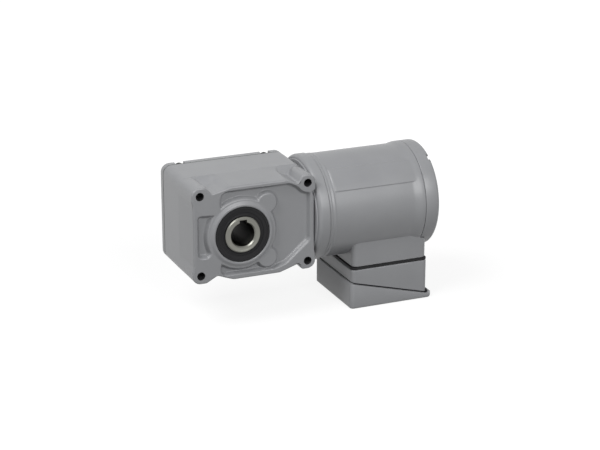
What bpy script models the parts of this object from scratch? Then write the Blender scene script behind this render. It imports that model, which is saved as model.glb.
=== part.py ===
"""Right-angle geared motor with a hollow output shaft.

A die-cast gear case holds a hypoid ring gear on a hollow shaft. A round motor is bolted to the right end of
the case, and its shaft carries the pinion. A wedge-shaped terminal box hangs under the motor.
The origin is on the output bore's axis, half way through the case. +X runs along the motor, away from the
gear case, -Y is the front mounting face, and +Z is up.
"""
import math

import bmesh
import bpy
import numpy as np

MM = 0.001
GAP = 0.3 * MM            # clearance between pieces that seat on each other
OVER = 1.0 * MM           # how far a cutter passes the face that it cuts
FLAT = math.pi / 2

# Fineness of round shapes
FINE = 24                 # sides of the large round shapes, shafts and bearings
ROUND = 16                # sides of plain rings
SMALL = 12                # sides of holes
SCREW_SIDES = 8
ARC_STEP = math.radians(23.0)

# Gear case: four through holes with an ear of metal round each
CASE_HALF_DEPTH = 46.5 * MM
HOLE_SPACING_X = 116.4 * MM
HOLE_SPACING_Z = 84.0 * MM
HOLE_LEFT_X = -44.7 * MM
HOLE_RADIUS = 4.25 * MM
EAR_RADIUS = 8.8 * MM
EAR_INSET = 0.2 * MM      # the ears stand this far inside the corners of the case
WALL = 5.0 * MM
SHOULDER_Y = -8.0 * MM    # the case is full size behind this plane
FRONT_TOP_DROP = 3.0 * MM
FRONT_LEFT_DROP = 1.7 * MM
RECESS_DEPTH = 5.0 * MM
BACK_RECESS_DEPTH = 3.0 * MM
COVER_THICKNESS = 8.1 * MM
GASKET_THICKNESS = 0.8 * MM

# Boss, lugs and spigot of the mounting faces
BOSS_RADIUS = 36.0 * MM
SPIGOT_RADIUS = 32.0 * MM
SPIGOT_HEIGHT = 2.0 * MM
LUG_X = 27.8 * MM
LUG_Z = 29.3 * MM
LUG_RADIUS = 9.2 * MM

# Sunk fields of the mounting faces: a large one round the boss, and a pocket at its left
FIELD_LEFT_X = -24.0 * MM
FIELD_LOW_BENDS_X = (36.0 * MM, 49.0 * MM)
FIELD_HIGH_BEND_X = 53.0 * MM
FIELD_RIGHT_INSET = 5.4 * MM
FIELD_CORNER = 10.0 * MM
POCKET_LEFT_X = -47.2 * MM
POCKET_Z = (-20.0 * MM, 25.4 * MM)

# Screws of the case cover
CASE_SCREW_LEFT_X = -34.0 * MM
CASE_SCREW_RIGHT_X = 60.5 * MM
CASE_SCREW_DROP = 6.0 * MM
CASE_SCREW_RADIUS = 2.9 * MM
CASE_SCREW_HEAD_RADIUS = 4.9 * MM
CASE_SCREW_HEAD = 5.6 * MM
CASE_SCREW_REACH = 18.0 * MM
CASE_SCREW_BOSS_RADIUS = 5.6 * MM

# Output shaft
BORE_RADIUS = 12.5 * MM
KEYWAY_WIDTH = 8.0 * MM
KEYWAY_DEPTH = 3.3 * MM
SHAFT_REACH = 3.5 * MM    # how far the shaft stands out of each mounting face
SHAFT_RADIUS = 19.0 * MM
SHAFT_BARREL_RADIUS = 24.0 * MM
SEAL_RADIUS = 29.0 * MM
SEAL_WIDTH = 7.8 * MM
SEAL_REACH = 1.5 * MM     # how far the seal stands out of the mounting face

# Ball bearings: bore radius, outer radius, width and number of balls
OUTPUT_BEARING = (20.0 * MM, 34.0 * MM, 15.0 * MM, 8)
MOTOR_FRONT_BEARING = (10.0 * MM, 23.5 * MM, 14.0 * MM, 7)
MOTOR_REAR_BEARING = (7.5 * MM, 17.5 * MM, 11.0 * MM, 7)
BALL_SHARE = 0.29         # ball radius as a share of the section between the rings' outer faces
BEARING_DEPTH = 14.5 * MM  # middle of an output bearing, from the mounting face
BEARING_WALL = 5.0 * MM

# Hypoid gear pair
MOTOR_AXIS_Z = 3.0 * MM   # the pinion's offset above the output shaft
PINION_TEETH = 6
GEAR_TEETH = 30
MESH_RADIUS = 34.0 * MM   # radius of the ring gear at the middle of its teeth
FACE_WIDTH = 8.0 * MM
ADDENDUM = 1.9 * MM
DEDENDUM = 2.2 * MM
PRESSURE_ANGLE = math.radians(22.5)
HELIX_ANGLE = math.radians(20.0)
TOOTH_PLAY = 0.3 * MM
TIP_PLAY = 0.4 * MM
GEAR_BACK_Y = 18.0 * MM
GEAR_WEB = 7.6 * MM
GEAR_HUB_RADIUS = 26.0 * MM
GEAR_HUB_START_Y = 4.3 * MM
GEAR_SEAT_RADIUS = 21.5 * MM
GEAR_KEY_WIDTH = 8.0 * MM
GEAR_KEY_DEPTH = 3.2 * MM
PINION_NOSE = 2.0 * MM    # how far the pinion reaches past the teeth at each end
PINION_SHANK_RADIUS = 5.7 * MM
PINION_SHANK = 16.0 * MM

# Motor
BRACKET_X = 81.0 * MM
FLANGE_THICKNESS = 12.5 * MM
MOTOR_RADIUS = 54.8 * MM
BRACKET_STEP = 1.2 * MM   # how far the bracket's flange stands out beyond the frame
BRACKET_SHOULDER = 4.5 * MM
END_STEP = 1.6 * MM       # the same of the rear cover and of the flared end of the frame before it
FLARE_X = 190.0 * MM
FLARE_LENGTH = 9.0 * MM
FRAME_WALL = 4.8 * MM
FRAME_END_X = 201.8 * MM
NOSE_RADIUS = 29.7 * MM
NOSE_X = 45.5 * MM
MOTOR_SEAL_RADIUS = 20.0 * MM
MOTOR_SEAL_WIDTH = 7.0 * MM
O_RING_RADIUS = 1.0 * MM
BRACKET_SCREW_Y = 31.0 * MM
BRACKET_SCREW_Z = 32.5 * MM
BRACKET_SCREW_BOSS_RADIUS = 5.2 * MM
BRACKET_SCREW_BOSS = 12.0 * MM
REAR_COVER_LENGTH = 15.9 * MM
REAR_COVER_WALL = 4.6 * MM
REAR_COVER_ROUND = 3.4 * MM
REAR_SCREW_INSET = 6.4 * MM
REAR_SCREW_ANGLE = math.radians(57.5)
REAR_SCREW_BOSS_RADIUS = 4.6 * MM
REAR_SCREW_BOSS = 20.0 * MM
REAR_SCREW_SEAT = 5.4 * MM
M5_RADIUS = 2.4 * MM
M5_HEAD_RADIUS = 4.25 * MM
M5_HEAD = 5.0 * MM
CORE_START_X = 118.0 * MM
CORE_LENGTH = 60.0 * MM
STATOR_DEPTH = 20.7 * MM
AIR_GAP = 0.6 * MM
WINDING_OVERHANG = 13.5 * MM
WINDING_DEPTHS = (18.5 * MM, 6.0 * MM)
COILS = 12
COIL_RADIUS = 3.2 * MM
END_RING_LENGTH = 9.0 * MM
CAGE_BARS = 8
CAGE_BAR_RADIUS = 2.0 * MM
END_RING_DEPTH = 1.2 * MM
END_RING_BORE = 17.0 * MM
ROTOR_SEAT_RADIUS = 12.7 * MM
SHAFT_COLLAR_RADIUS = 12.0 * MM

# Terminal box
BOX_LEFT_X = 122.9 * MM
BOX_LENGTH = 87.4 * MM
BOX_HALF_WIDTH = 44.4 * MM
BOX_CORNER = 4.4 * MM
SEAT_CORNER = 7.0 * MM
BOX_WALL = 3.2 * MM
SEAT_DROP = 3.8 * MM      # underside of the box's seat, below the motor frame
SEAT_INSET = 1.2 * MM
BOX_GASKET = 2.7 * MM
JOINT_DEPTH = 13.9 * MM   # left end of the slanted joint, below the box's top
JOINT_DROP = 23.0 * MM    # how far the slanted joint falls along the box
COVER_GASKET = 1.2 * MM
BOX_DEPTH = 5.6 * MM      # depth of the cover under the joint's right end
COVER_OVERHANG = 2.0 * MM
LIP_LENGTH = 5.6 * MM
LIP_TAB_HEIGHT = 4.0 * MM
BOX_SCREW_INSET = 6.1 * MM
BOX_SCREW_COLUMN = 4.7 * MM
M4_RADIUS = 1.9 * MM
M4_HEAD_RADIUS = 3.5 * MM
M4_HEAD = 2.6 * MM
SEAT_SCREW_X = (134.2 * MM, 195.0 * MM)
SEAT_SCREW_COLUMN = 5.0 * MM
SEAT_SCREW_DEPTH = 7.0 * MM
LEAD_WINDOW_X = (163.0 * MM, 188.0 * MM)
LEAD_WINDOW_HALF_WIDTH = 16.0 * MM
LEAD_RADIUS = 1.2 * MM
LEAD_SPACING = 11.0 * MM
BLOCK_X = (140.5 * MM, 160.5 * MM)
BLOCK_HALF_WIDTH = 21.0 * MM
BLOCK_HEIGHT = 12.0 * MM
ENTRY_X = 182.0 * MM
ENTRY_DROP = 16.0 * MM
ENTRY_RADIUS = 9.0 * MM

# Places worked out from the sizes above
HOLE_RIGHT_X = HOLE_LEFT_X + HOLE_SPACING_X
HOLE_TOP_Z = MOTOR_AXIS_Z + HOLE_SPACING_Z / 2
HOLE_BOTTOM_Z = MOTOR_AXIS_Z - HOLE_SPACING_Z / 2
CORNER_RADIUS = EAR_RADIUS + EAR_INSET
CASE_LEFT = HOLE_LEFT_X - CORNER_RADIUS
CASE_RIGHT = BRACKET_X - GAP
CASE_TOP = HOLE_TOP_Z + CORNER_RADIUS
CASE_BOTTOM = HOLE_BOTTOM_Z - CORNER_RADIUS
COVER_Y = CASE_HALF_DEPTH - COVER_THICKNESS
CASE_END_Y = COVER_Y - GASKET_THICKNESS - 2 * GAP
FRONT_INNER_Y = -CASE_HALF_DEPTH + RECESS_DEPTH + WALL
CASE_SCREWS = [(x, z)
               for x in (CASE_SCREW_LEFT_X, CASE_SCREW_RIGHT_X)
               for z in (CASE_TOP - CASE_SCREW_DROP, CASE_BOTTOM + CASE_SCREW_DROP)]
CASE_SCREW_HOLE = CASE_SCREW_RADIUS + GAP
EARS = [(x, z) for x in (HOLE_LEFT_X, HOLE_RIGHT_X) for z in (HOLE_BOTTOM_Z, HOLE_TOP_Z)]
OUTPUT_BEARING_Y = CASE_HALF_DEPTH - BEARING_DEPTH
SHAFT_HALF_LENGTH = CASE_HALF_DEPTH + SHAFT_REACH
SEAL_FACE = CASE_HALF_DEPTH + SEAL_REACH
FRAME_X = BRACKET_X + FLANGE_THICKNESS + GAP
FRAME_BORE = MOTOR_RADIUS - FRAME_WALL
BRACKET_RADIUS = MOTOR_RADIUS + BRACKET_STEP
END_RADIUS = MOTOR_RADIUS + END_STEP
REAR_SCREW_CIRCLE = END_RADIUS - REAR_SCREW_INSET
ROTOR_RADIUS = FRAME_BORE - STATOR_DEPTH - AIR_GAP
WINDING_RADII = tuple(FRAME_BORE - depth for depth in WINDING_DEPTHS)
END_RING_RADII = (END_RING_BORE, ROTOR_RADIUS - END_RING_DEPTH)
REAR_COVER_X = FRAME_END_X + GAP
MOTOR_END_X = REAR_COVER_X + REAR_COVER_LENGTH
PITCH_RADIUS = MESH_RADIUS * PINION_TEETH / GEAR_TEETH
PINION_TIP = PITCH_RADIUS + ADDENDUM
PINION_ROOT = PITCH_RADIUS - DEDENDUM
TEETH_INNER = MESH_RADIUS - FACE_WIDTH / 2
TEETH_OUTER = MESH_RADIUS + FACE_WIDTH / 2
PINION_START_X = TEETH_INNER - PINION_NOSE
PINION_END_X = TEETH_OUTER + PINION_NOSE
GEAR_RATIO = GEAR_TEETH / PINION_TEETH
BOX_RIGHT_X = BOX_LEFT_X + BOX_LENGTH
SEAT_Z = MOTOR_AXIS_Z - MOTOR_RADIUS - SEAT_DROP
BASE_TOP_Z = SEAT_Z - BOX_GASKET - 2 * GAP
JOINT_LEFT_Z = BASE_TOP_Z - JOINT_DEPTH
BOX_BOTTOM_Z = JOINT_LEFT_Z - JOINT_DROP - BOX_DEPTH
M5_HOLE = M5_RADIUS + GAP
M4_HOLE = M4_RADIUS + GAP

# Colour, roughness and metallic value of each finish
PAINT = ((0.245, 0.255, 0.265), 0.5, 0.0)
BLACK_RUBBER = ((0.012, 0.012, 0.013), 0.6, 0.0)
BLACK_STEEL = ((0.02, 0.02, 0.022), 0.4, 1.0)
STEEL = ((0.45, 0.45, 0.43), 0.3, 1.0)
GEAR_STEEL = ((0.30, 0.30, 0.31), 0.35, 1.0)
LAMINATION = ((0.22, 0.22, 0.23), 0.5, 1.0)
COPPER = ((0.72, 0.32, 0.14), 0.35, 1.0)
ALUMINIUM = ((0.62, 0.63, 0.64), 0.4, 1.0)
BRASS = ((0.70, 0.50, 0.20), 0.3, 1.0)
PHENOLIC = ((0.03, 0.025, 0.022), 0.5, 0.0)
GASKET_PAPER = ((0.10, 0.11, 0.10), 0.8, 0.0)
LEAD_SLEEVE = ((0.35, 0.03, 0.03), 0.5, 0.0)

PARTS = "geared_motor"
TOOLS = "geared_motor_cutters"


def clear_scene():
    """Empty the scene and make one collection for the pieces and one for the cutters."""
    for item in list(bpy.data.objects):
        bpy.data.objects.remove(item, do_unlink=True)
    for title in (PARTS, TOOLS):
        bpy.context.scene.collection.children.link(bpy.data.collections.new(title))


def add_object(name, data, parent=None, collection=TOOLS):
    """Put a mesh or curve in a collection, carried by an axis where one is given."""
    item = bpy.data.objects.new(name, data)
    bpy.data.collections[collection].objects.link(item)
    item.parent = parent
    return item


def axis_empty(name, location, turn):
    """An empty whose local Z runs along a shaft; the pieces on that shaft are its children."""
    empty = add_object(name, None, collection=PARTS)
    empty.location = location
    empty.rotation_euler = turn
    return empty


def finish_piece(item, finish):
    """Make a shape a piece of the object: its own material, smooth where it is round."""
    colour, roughness, metallic = finish
    material = bpy.data.materials.new(item.name)
    material.use_nodes = True
    shader = material.node_tree.nodes["Principled BSDF"]
    shader.inputs["Base Color"].default_value = (*colour, 1.0)
    shader.inputs["Roughness"].default_value = roughness
    shader.inputs["Metallic"].default_value = metallic
    item.data.materials.append(material)
    bpy.data.collections[TOOLS].objects.unlink(item)
    bpy.data.collections[PARTS].objects.link(item)
    if item.type == "MESH":
        item.data.shade_smooth()
        item.data.set_sharp_from_angle(angle=math.radians(35))
    return item


def boolean(target, tool, operation):
    """Cut, join or keep with a tool shape, which then stays as a hidden wire."""
    tool.hide_render = True
    tool.display_type = "WIRE"
    modifier = target.modifiers.new(tool.name, "BOOLEAN")
    modifier.operation = operation
    modifier.object = tool
    modifier.solver = "EXACT"


def cut(target, *tools):
    """Take each tool shape out of the target."""
    for tool in tools:
        boolean(target, tool, "DIFFERENCE")


def join(target, *tools):
    """Add each tool shape to the target."""
    for tool in tools:
        boolean(target, tool, "UNION")


def mesh_from(bm, name):
    """Close a bmesh into a mesh with its faces pointing out."""
    bmesh.ops.recalc_face_normals(bm, faces=bm.faces)
    mesh = bpy.data.meshes.new(name)
    bm.to_mesh(mesh)
    bm.free()
    return mesh


def block(name, low, high):
    """A box between two corners."""
    bm = bmesh.new()
    bmesh.ops.create_cube(bm, size=1.0)
    for vert in bm.verts:
        vert.co = [low[i] + (vert.co[i] + 0.5) * (high[i] - low[i]) for i in range(3)]
    return add_object(name, mesh_from(bm, name))


def drum(name, radius, start, end, parent=None, offset=(0.0, 0.0), sides=SMALL):
    """A cylinder along the local Z of an axis, from start to end."""
    bm = bmesh.new()
    bmesh.ops.create_cone(bm, cap_ends=True, segments=sides, radius1=radius, radius2=radius,
                          depth=end - start)
    middle = (offset[0], offset[1], (start + end) / 2)
    bmesh.ops.translate(bm, verts=bm.verts, vec=middle)
    return add_object(name, mesh_from(bm, name), parent)


def upright(name, radius, low, high, x, y, sides=SMALL):
    """A cylinder that stands upright at x, y."""
    return drum(name, radius, low, high, offset=(x, y), sides=sides)


def turned(name, profile, parent=None, sides=ROUND, offset=(0.0, 0.0)):
    """A turned solid: its profile of (radius, place along the axis) swept round by a Screw modifier."""
    following = profile[1:] + profile[:1]
    area = sum(a[0] * b[1] - b[0] * a[1] for a, b in zip(profile, following))
    points = profile if area < 0 else profile[::-1]
    on_axis = [i for i, point in enumerate(points) if point[0] < 1e-9]
    if on_axis:
        first = next(i for i in on_axis if points[i - 1][0] < 1e-9)
        points = points[first:] + points[:first]
    count = len(points)
    edges = [(i, i + 1) for i in range(count - 1)]
    if not on_axis:
        edges.append((count - 1, 0))
    mesh = bpy.data.meshes.new(name)
    mesh.from_pydata([(radius, 0.0, along) for radius, along in points], edges, [])
    item = add_object(name, mesh, parent)
    item.location = (offset[0], offset[1], 0.0)
    screw = item.modifiers.new("turn", "SCREW")
    screw.steps = sides
    screw.render_steps = sides
    screw.use_merge_vertices = True
    screw.merge_threshold = 1e-6
    return item


def tube_profile(inner, outer, start, end):
    """The section of a plain ring."""
    return [(outer, end), (outer, start), (inner, start), (inner, end)]


def rounded(corners):
    """Points of an outline whose corners (a, b, radius) are rounded by arcs."""
    points = []
    for index, (a, b, radius) in enumerate(corners):
        corner = np.array((a, b))
        if radius <= 0:
            points.append(tuple(corner))
            continue
        before = np.array(corners[index - 1][:2]) - corner
        after = np.array(corners[(index + 1) % len(corners)][:2]) - corner
        before /= np.linalg.norm(before)
        after /= np.linalg.norm(after)
        half = math.acos(np.clip(before @ after, -1.0, 1.0)) / 2
        inward = (before + after) / np.linalg.norm(before + after)
        centre = corner + inward * radius / math.sin(half)
        start = corner + before * radius / math.tan(half) - centre
        end = corner + after * radius / math.tan(half) - centre
        turn = math.atan2(start[0] * end[1] - start[1] * end[0], start @ end)
        steps = max(1, math.ceil(abs(turn) / ARC_STEP))
        for step in range(steps + 1):
            angle = turn * step / steps
            c, s = math.cos(angle), math.sin(angle)
            points.append((centre[0] + c * start[0] - s * start[1], centre[1] + s * start[0] + c * start[1]))
    return points


def rectangle(a0, a1, b0, b1, radius=0.0):
    """Corners of a rectangle that all have one radius."""
    return [(a0, b0, radius), (a1, b0, radius), (a1, b1, radius), (a0, b1, radius)]


def slab(name, outline, low, high, along="Y"):
    """A flat outline made thick: (x, z) points along Y, or (x, y) points along Z."""
    curve = bpy.data.curves.new(name + "_outline", "CURVE")
    curve.dimensions = "2D"
    curve.fill_mode = "BOTH"
    curve.extrude = (high - low) / 2
    spline = curve.splines.new("POLY")
    spline.points.add(len(outline) - 1)
    for point, (a, b) in zip(spline.points, outline):
        point.co = (a, b, 0.0, 1.0)
    spline.use_cyclic_u = True
    drawn = add_object(name + "_outline", curve)
    middle = (low + high) / 2
    if along == "Y":
        drawn.rotation_euler = (FLAT, 0.0, 0.0)
        drawn.location = (0.0, middle, 0.0)
    else:
        drawn.location = (0.0, 0.0, middle)
    bpy.context.view_layer.update()
    place = drawn.matrix_world.copy()
    item = add_object(name, welded_mesh(drawn, name))
    item.matrix_world = place
    return item


def screw_profile(radius, head_radius, head, reach, socket=0.0):
    """Section of a cap screw along its axis: head from 0 to head, shank from 0 down to -reach."""
    top = [(0.0, head - socket), (head_radius * 0.5, head - socket), (head_radius * 0.5, head)]
    if socket == 0.0:
        top = [(0.0, head)]
    return top + [(head_radius, head), (head_radius, 0.0), (radius, 0.0), (radius, -reach), (0.0, -reach)]


def wire(name, stops, radius):
    """A round wire through its stops, as a closed mesh."""
    curve = bpy.data.curves.new(name + "_path", "CURVE")
    curve.dimensions = "3D"
    curve.bevel_depth = radius
    curve.bevel_resolution = 1
    curve.use_fill_caps = True
    spline = curve.splines.new("POLY")
    spline.points.add(len(stops) - 1)
    for point, stop in zip(spline.points, stops):
        point.co = (*stop, 1.0)
    return add_object(name, welded_mesh(add_object(name + "_path", curve), name))


def welded_mesh(drawn, name):
    """The closed mesh that a curve object draws; the curve itself is removed."""
    bpy.context.view_layer.update()
    graph = bpy.context.evaluated_depsgraph_get()
    mesh = bpy.data.meshes.new_from_object(drawn.evaluated_get(graph))
    mesh.name = name
    bpy.data.objects.remove(drawn)
    bm = bmesh.new()
    bm.from_mesh(mesh)
    bmesh.ops.remove_doubles(bm, verts=bm.verts, dist=1e-6)
    bmesh.ops.recalc_face_normals(bm, faces=bm.faces)
    bm.to_mesh(mesh)
    bm.free()
    return mesh


def carry(item, parent):
    """Let an axis carry a piece that is already in place."""
    bpy.context.view_layer.update()
    place = item.matrix_world.copy()
    item.parent = parent
    item.matrix_world = place
    return item


def from_output(x, z):
    """A place across the output shaft, in that axis's own frame."""
    return (x, -z)


def from_motor(y, z):
    """A place across the motor shaft, in that axis's own frame."""
    return (MOTOR_AXIS_Z - z, y)


def case_outline():
    """Outer outline of the gear case, its corners centred on the mounting holes."""
    return rounded(rectangle(CASE_LEFT, CASE_RIGHT, CASE_BOTTOM, CASE_TOP, CORNER_RADIUS))


def front_outline():
    """Outline of the front of the case: an ear round each hole, and a valley beside each ear."""
    ear = EAR_RADIUS
    left = HOLE_LEFT_X - ear
    right = HOLE_RIGHT_X + ear
    side = CASE_LEFT + FRONT_LEFT_DROP
    high = HOLE_TOP_Z + ear
    low = HOLE_BOTTOM_Z - ear
    top = CASE_TOP - FRONT_TOP_DROP
    valley_left = HOLE_LEFT_X + 1.48 * ear
    valley_right = HOLE_RIGHT_X - 1.18 * ear
    valley_top = HOLE_TOP_Z + 1.2 * MM
    valley_bottom = HOLE_BOTTOM_Z - 2.4 * MM
    return rounded([
        (left, high, ear), (HOLE_LEFT_X + 0.7 * ear, high, 0.6 * ear), (valley_left, valley_top, 2.0 * MM),
        (valley_left + 20.0 * MM, top, 8.0 * MM), (valley_right - 13.0 * MM, top, 8.0 * MM),
        (valley_right, valley_top - 0.6 * MM, 2.0 * MM), (HOLE_RIGHT_X - 0.6 * ear, high, 0.5 * ear),
        (right, high, ear), (right, low, ear), (HOLE_RIGHT_X - 0.7 * ear, low, 0.5 * ear),
        (valley_right, valley_bottom, 2.0 * MM),
        (valley_right - 20.0 * MM, CASE_BOTTOM + EAR_INSET, 12.0 * MM),
        (valley_left + 22.0 * MM, CASE_BOTTOM + EAR_INSET, 12.0 * MM),
        (valley_left + 5.0 * MM, valley_bottom, 4.0 * MM), (HOLE_LEFT_X + 0.7 * ear, low, 0.6 * ear),
        (left, low, ear), (left, HOLE_BOTTOM_Z + 0.5 * ear, 3.0 * MM),
        (side, HOLE_BOTTOM_Z + 1.3 * ear, 3.0 * MM), (side, HOLE_TOP_Z - 1.3 * ear, 3.0 * MM),
        (left, HOLE_TOP_Z - 0.5 * ear, 3.0 * MM),
    ])


def main_recess_outline():
    """The sunk field round the boss: over it, to its right and under it."""
    left = FIELD_LEFT_X
    right = CASE_RIGHT - FIELD_RIGHT_INSET
    top = HOLE_TOP_Z + 2.6 * MM
    bottom = HOLE_BOTTOM_Z - 4.4 * MM
    return rounded([
        (left, top, FIELD_CORNER),
        (left, bottom, 6.0 * MM),
        (FIELD_LOW_BENDS_X[0], bottom, FIELD_CORNER),
        (FIELD_LOW_BENDS_X[1], bottom + 4.2 * MM, FIELD_CORNER),
        (right, -17.0 * MM, 8.0 * MM),
        (right, HOLE_TOP_Z - 11.0 * MM, 3.0 * MM),
        (HOLE_RIGHT_X - 9.0 * MM, HOLE_TOP_Z - 3.0 * MM, 2.0 * MM),
        (FIELD_HIGH_BEND_X, top, FIELD_CORNER),
    ])


def left_recess_outline():
    """The small sunk pocket at the left of the boss."""
    return rounded([
        (POCKET_LEFT_X, POCKET_Z[1], 3.0 * MM),
        (POCKET_LEFT_X, POCKET_Z[0], 3.0 * MM),
        (FIELD_LEFT_X, -26.0 * MM, 0.0),
        (FIELD_LEFT_X, 26.0 * MM, 0.0),
    ])


def face_recess(target, face, depth, side, output, spots=()):
    """Sink the two fields into a mounting face; boss, lugs, ears and the given (radius, x, z) spots stay.

    side is -1 at the front and +1 at the back.
    """
    kept = [(BOSS_RADIUS, 0.0, 0.0), (LUG_RADIUS, LUG_X, LUG_Z), (LUG_RADIUS, LUG_X, -LUG_Z)]
    kept += [(EAR_RADIUS, x, z) for x, z in EARS] + list(spots)
    low, high = sorted((face + side * OVER, face - side * depth))
    for title, outline in (("main", main_recess_outline()), ("left", left_recess_outline())):
        name = f"{target.name}_{title}_recess"
        tool = slab(name, outline, low, high)
        for number, (radius, x, z) in enumerate(kept):
            sides = FINE if radius == BOSS_RADIUS else SMALL
            cut(tool, drum(f"{name}_kept_{number}", radius, low - OVER, high + OVER, output,
                           from_output(x, z),
                           sides))
        cut(target, tool)


def face_boss(target, face, inner, seat_end, side, output):
    """Spigot ring on a mounting face and the bearing tube behind it; inner is the wall's inner face."""
    name = target.name
    tube = OUTPUT_BEARING[1] + GAP + BEARING_WALL
    ends = sorted((inner + side * WALL / 4, seat_end))
    join(target, drum(name + "_bearing_tube", tube, *ends, output, sides=FINE))
    ends = sorted((face + side * SPIGOT_HEIGHT, face - side * OVER))
    join(target, drum(name + "_spigot", SPIGOT_RADIUS, *ends, output, sides=FINE))


def face_bores(target, face, seat_end, side, output):
    """Seal bore through a mounting face and bearing seat behind it."""
    name = target.name
    shoulder = side * (OUTPUT_BEARING_Y + OUTPUT_BEARING[2] / 2 + GAP)
    ends = sorted((face + side * (SPIGOT_HEIGHT + OVER), shoulder - side * OVER))
    cut(target, drum(name + "_seal_bore", SEAL_RADIUS + GAP, *ends, output, sides=FINE))
    ends = sorted((shoulder, seat_end - side * OVER))
    cut(target, drum(name + "_bearing_seat", OUTPUT_BEARING[1] + GAP, *ends, output, sides=FINE))


def case_room(name, start, end, output, front_room=None):
    """The room inside the case as a tool, less the metal round the mounting holes and cover screws."""
    corners = rectangle(CASE_LEFT + WALL, CASE_RIGHT - WALL, CASE_BOTTOM + WALL, CASE_TOP - WALL, 4.0 * MM)
    room = slab(name, rounded(corners), start, end)
    if front_room:
        join(room, front_room)
    low = min(start, FRONT_INNER_Y) - OVER
    for number, (x, z) in enumerate(EARS):
        cut(room, drum(f"{name}_ear_{number}", EAR_RADIUS, low, end + OVER, output, from_output(x, z)))
    for number, (x, z) in enumerate(CASE_SCREWS):
        cut(room, drum(f"{name}_screw_{number}", CASE_SCREW_BOSS_RADIUS, low, end + OVER, output,
                       from_output(x, z)))
    return room


def ear_holes(target, low, high, output):
    """The mounting holes themselves."""
    for number, (x, z) in enumerate(EARS):
        hole = drum(f"{target.name}_hole_{number}", HOLE_RADIUS, low - OVER, high + OVER, output,
                    from_output(x, z))
        cut(target, hole)


def make_gear_case(output, motor):
    """Front shell of the gear case, open to the back."""
    case = slab("gear_case", case_outline(), SHOULDER_Y, CASE_END_Y)
    join(case, slab("gear_case_front", front_outline(), -CASE_HALF_DEPTH, SHOULDER_Y + OVER))
    corners = rectangle(CASE_LEFT + 2 * WALL, CASE_RIGHT - 1.2 * WALL, CASE_BOTTOM + 2.4 * WALL,
                        CASE_TOP - 2.6 * WALL, 8.0 * MM)
    front_room = slab("gear_case_front_room", rounded(corners), FRONT_INNER_Y, SHOULDER_Y + WALL + OVER)
    cut(case, case_room("gear_case_room", SHOULDER_Y + WALL, CASE_END_Y + OVER, output, front_room))
    face_recess(case, -CASE_HALF_DEPTH, RECESS_DEPTH, -1, output)
    seat_end = -OUTPUT_BEARING_Y + OUTPUT_BEARING[2] / 2
    face_boss(case, -CASE_HALF_DEPTH, FRONT_INNER_Y, seat_end, -1, output)
    for number, (y, z) in enumerate(bracket_screw_places()):
        spot = from_motor(y, z)
        start = CASE_RIGHT - BRACKET_SCREW_BOSS
        join(case, drum(f"gear_case_bracket_boss_{number}", BRACKET_SCREW_BOSS_RADIUS, start,
                        CASE_RIGHT - OVER, motor, spot))
    face_bores(case, -CASE_HALF_DEPTH, seat_end, -1, output)
    ear_holes(case, -CASE_HALF_DEPTH, CASE_END_Y, output)
    for number, (x, z) in enumerate(CASE_SCREWS):
        start = CASE_END_Y - CASE_SCREW_REACH - GAP
        cut(case, drum(f"gear_case_screw_hole_{number}", CASE_SCREW_HOLE, start, CASE_END_Y + OVER, output,
                       from_output(x, z), SCREW_SIDES))
    cut(case, drum("gear_case_nose_hole", NOSE_RADIUS + GAP, CASE_RIGHT - 2 * WALL, CASE_RIGHT + OVER, motor,
                   sides=FINE))
    for number, (y, z) in enumerate(bracket_screw_places()):
        cut(case, drum(f"gear_case_bracket_hole_{number}", M5_HOLE,
                       CASE_RIGHT - BRACKET_SCREW_BOSS + 2 * GAP,
                       CASE_RIGHT + OVER, motor, from_motor(y, z), SCREW_SIDES))
    return finish_piece(case, PAINT)


def make_case_gasket(output):
    """Flat gasket between the case and its cover."""
    low = CASE_END_Y + GAP
    high = low + GASKET_THICKNESS
    gasket = slab("case_gasket", case_outline(), low, high)
    cut(gasket, case_room("case_gasket_opening", low - OVER, high + OVER, output))
    ear_holes(gasket, low, high, output)
    for number, (x, z) in enumerate(CASE_SCREWS):
        cut(gasket, drum(f"case_gasket_screw_hole_{number}", CASE_SCREW_HOLE, low - OVER, high + OVER,
                         output,
                         from_output(x, z), SCREW_SIDES))
    return finish_piece(gasket, GASKET_PAPER)


def make_case_cover(output):
    """Back cover of the gear case, with the same boss and ears as the front."""
    cover = slab("gear_case_cover", case_outline(), COVER_Y, CASE_HALF_DEPTH)
    head_floor = CASE_HALF_DEPTH - CASE_SCREW_HEAD - GAP
    pocket_radius = CASE_SCREW_HEAD_RADIUS + GAP
    spots = [(pocket_radius + 2.0 * MM, x, z) for x, z in CASE_SCREWS]
    face_recess(cover, CASE_HALF_DEPTH, BACK_RECESS_DEPTH, 1, output, spots)
    seat_end = OUTPUT_BEARING_Y - OUTPUT_BEARING[2] / 2
    face_boss(cover, CASE_HALF_DEPTH, COVER_Y, seat_end, 1, output)
    face_bores(cover, CASE_HALF_DEPTH, seat_end, 1, output)
    ear_holes(cover, COVER_Y, CASE_HALF_DEPTH, output)
    for number, (x, z) in enumerate(CASE_SCREWS):
        spot = from_output(x, z)
        cut(cover, drum(f"cover_screw_hole_{number}", CASE_SCREW_HOLE, COVER_Y - OVER, CASE_HALF_DEPTH,
                        output,
                        spot, SCREW_SIDES))
        cut(cover, drum(f"cover_screw_pocket_{number}", pocket_radius, head_floor, CASE_HALF_DEPTH + OVER,
                        output, spot))
        outer = (CASE_TOP + OVER) if z > 0 else (CASE_BOTTOM - OVER)
        low_z, high_z = sorted((z, outer))
        cut(cover, block(f"cover_screw_notch_{number}", (x - pocket_radius, head_floor, low_z),
                         (x + pocket_radius, CASE_HALF_DEPTH + OVER, high_z)))
    return finish_piece(cover, PAINT)


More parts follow.
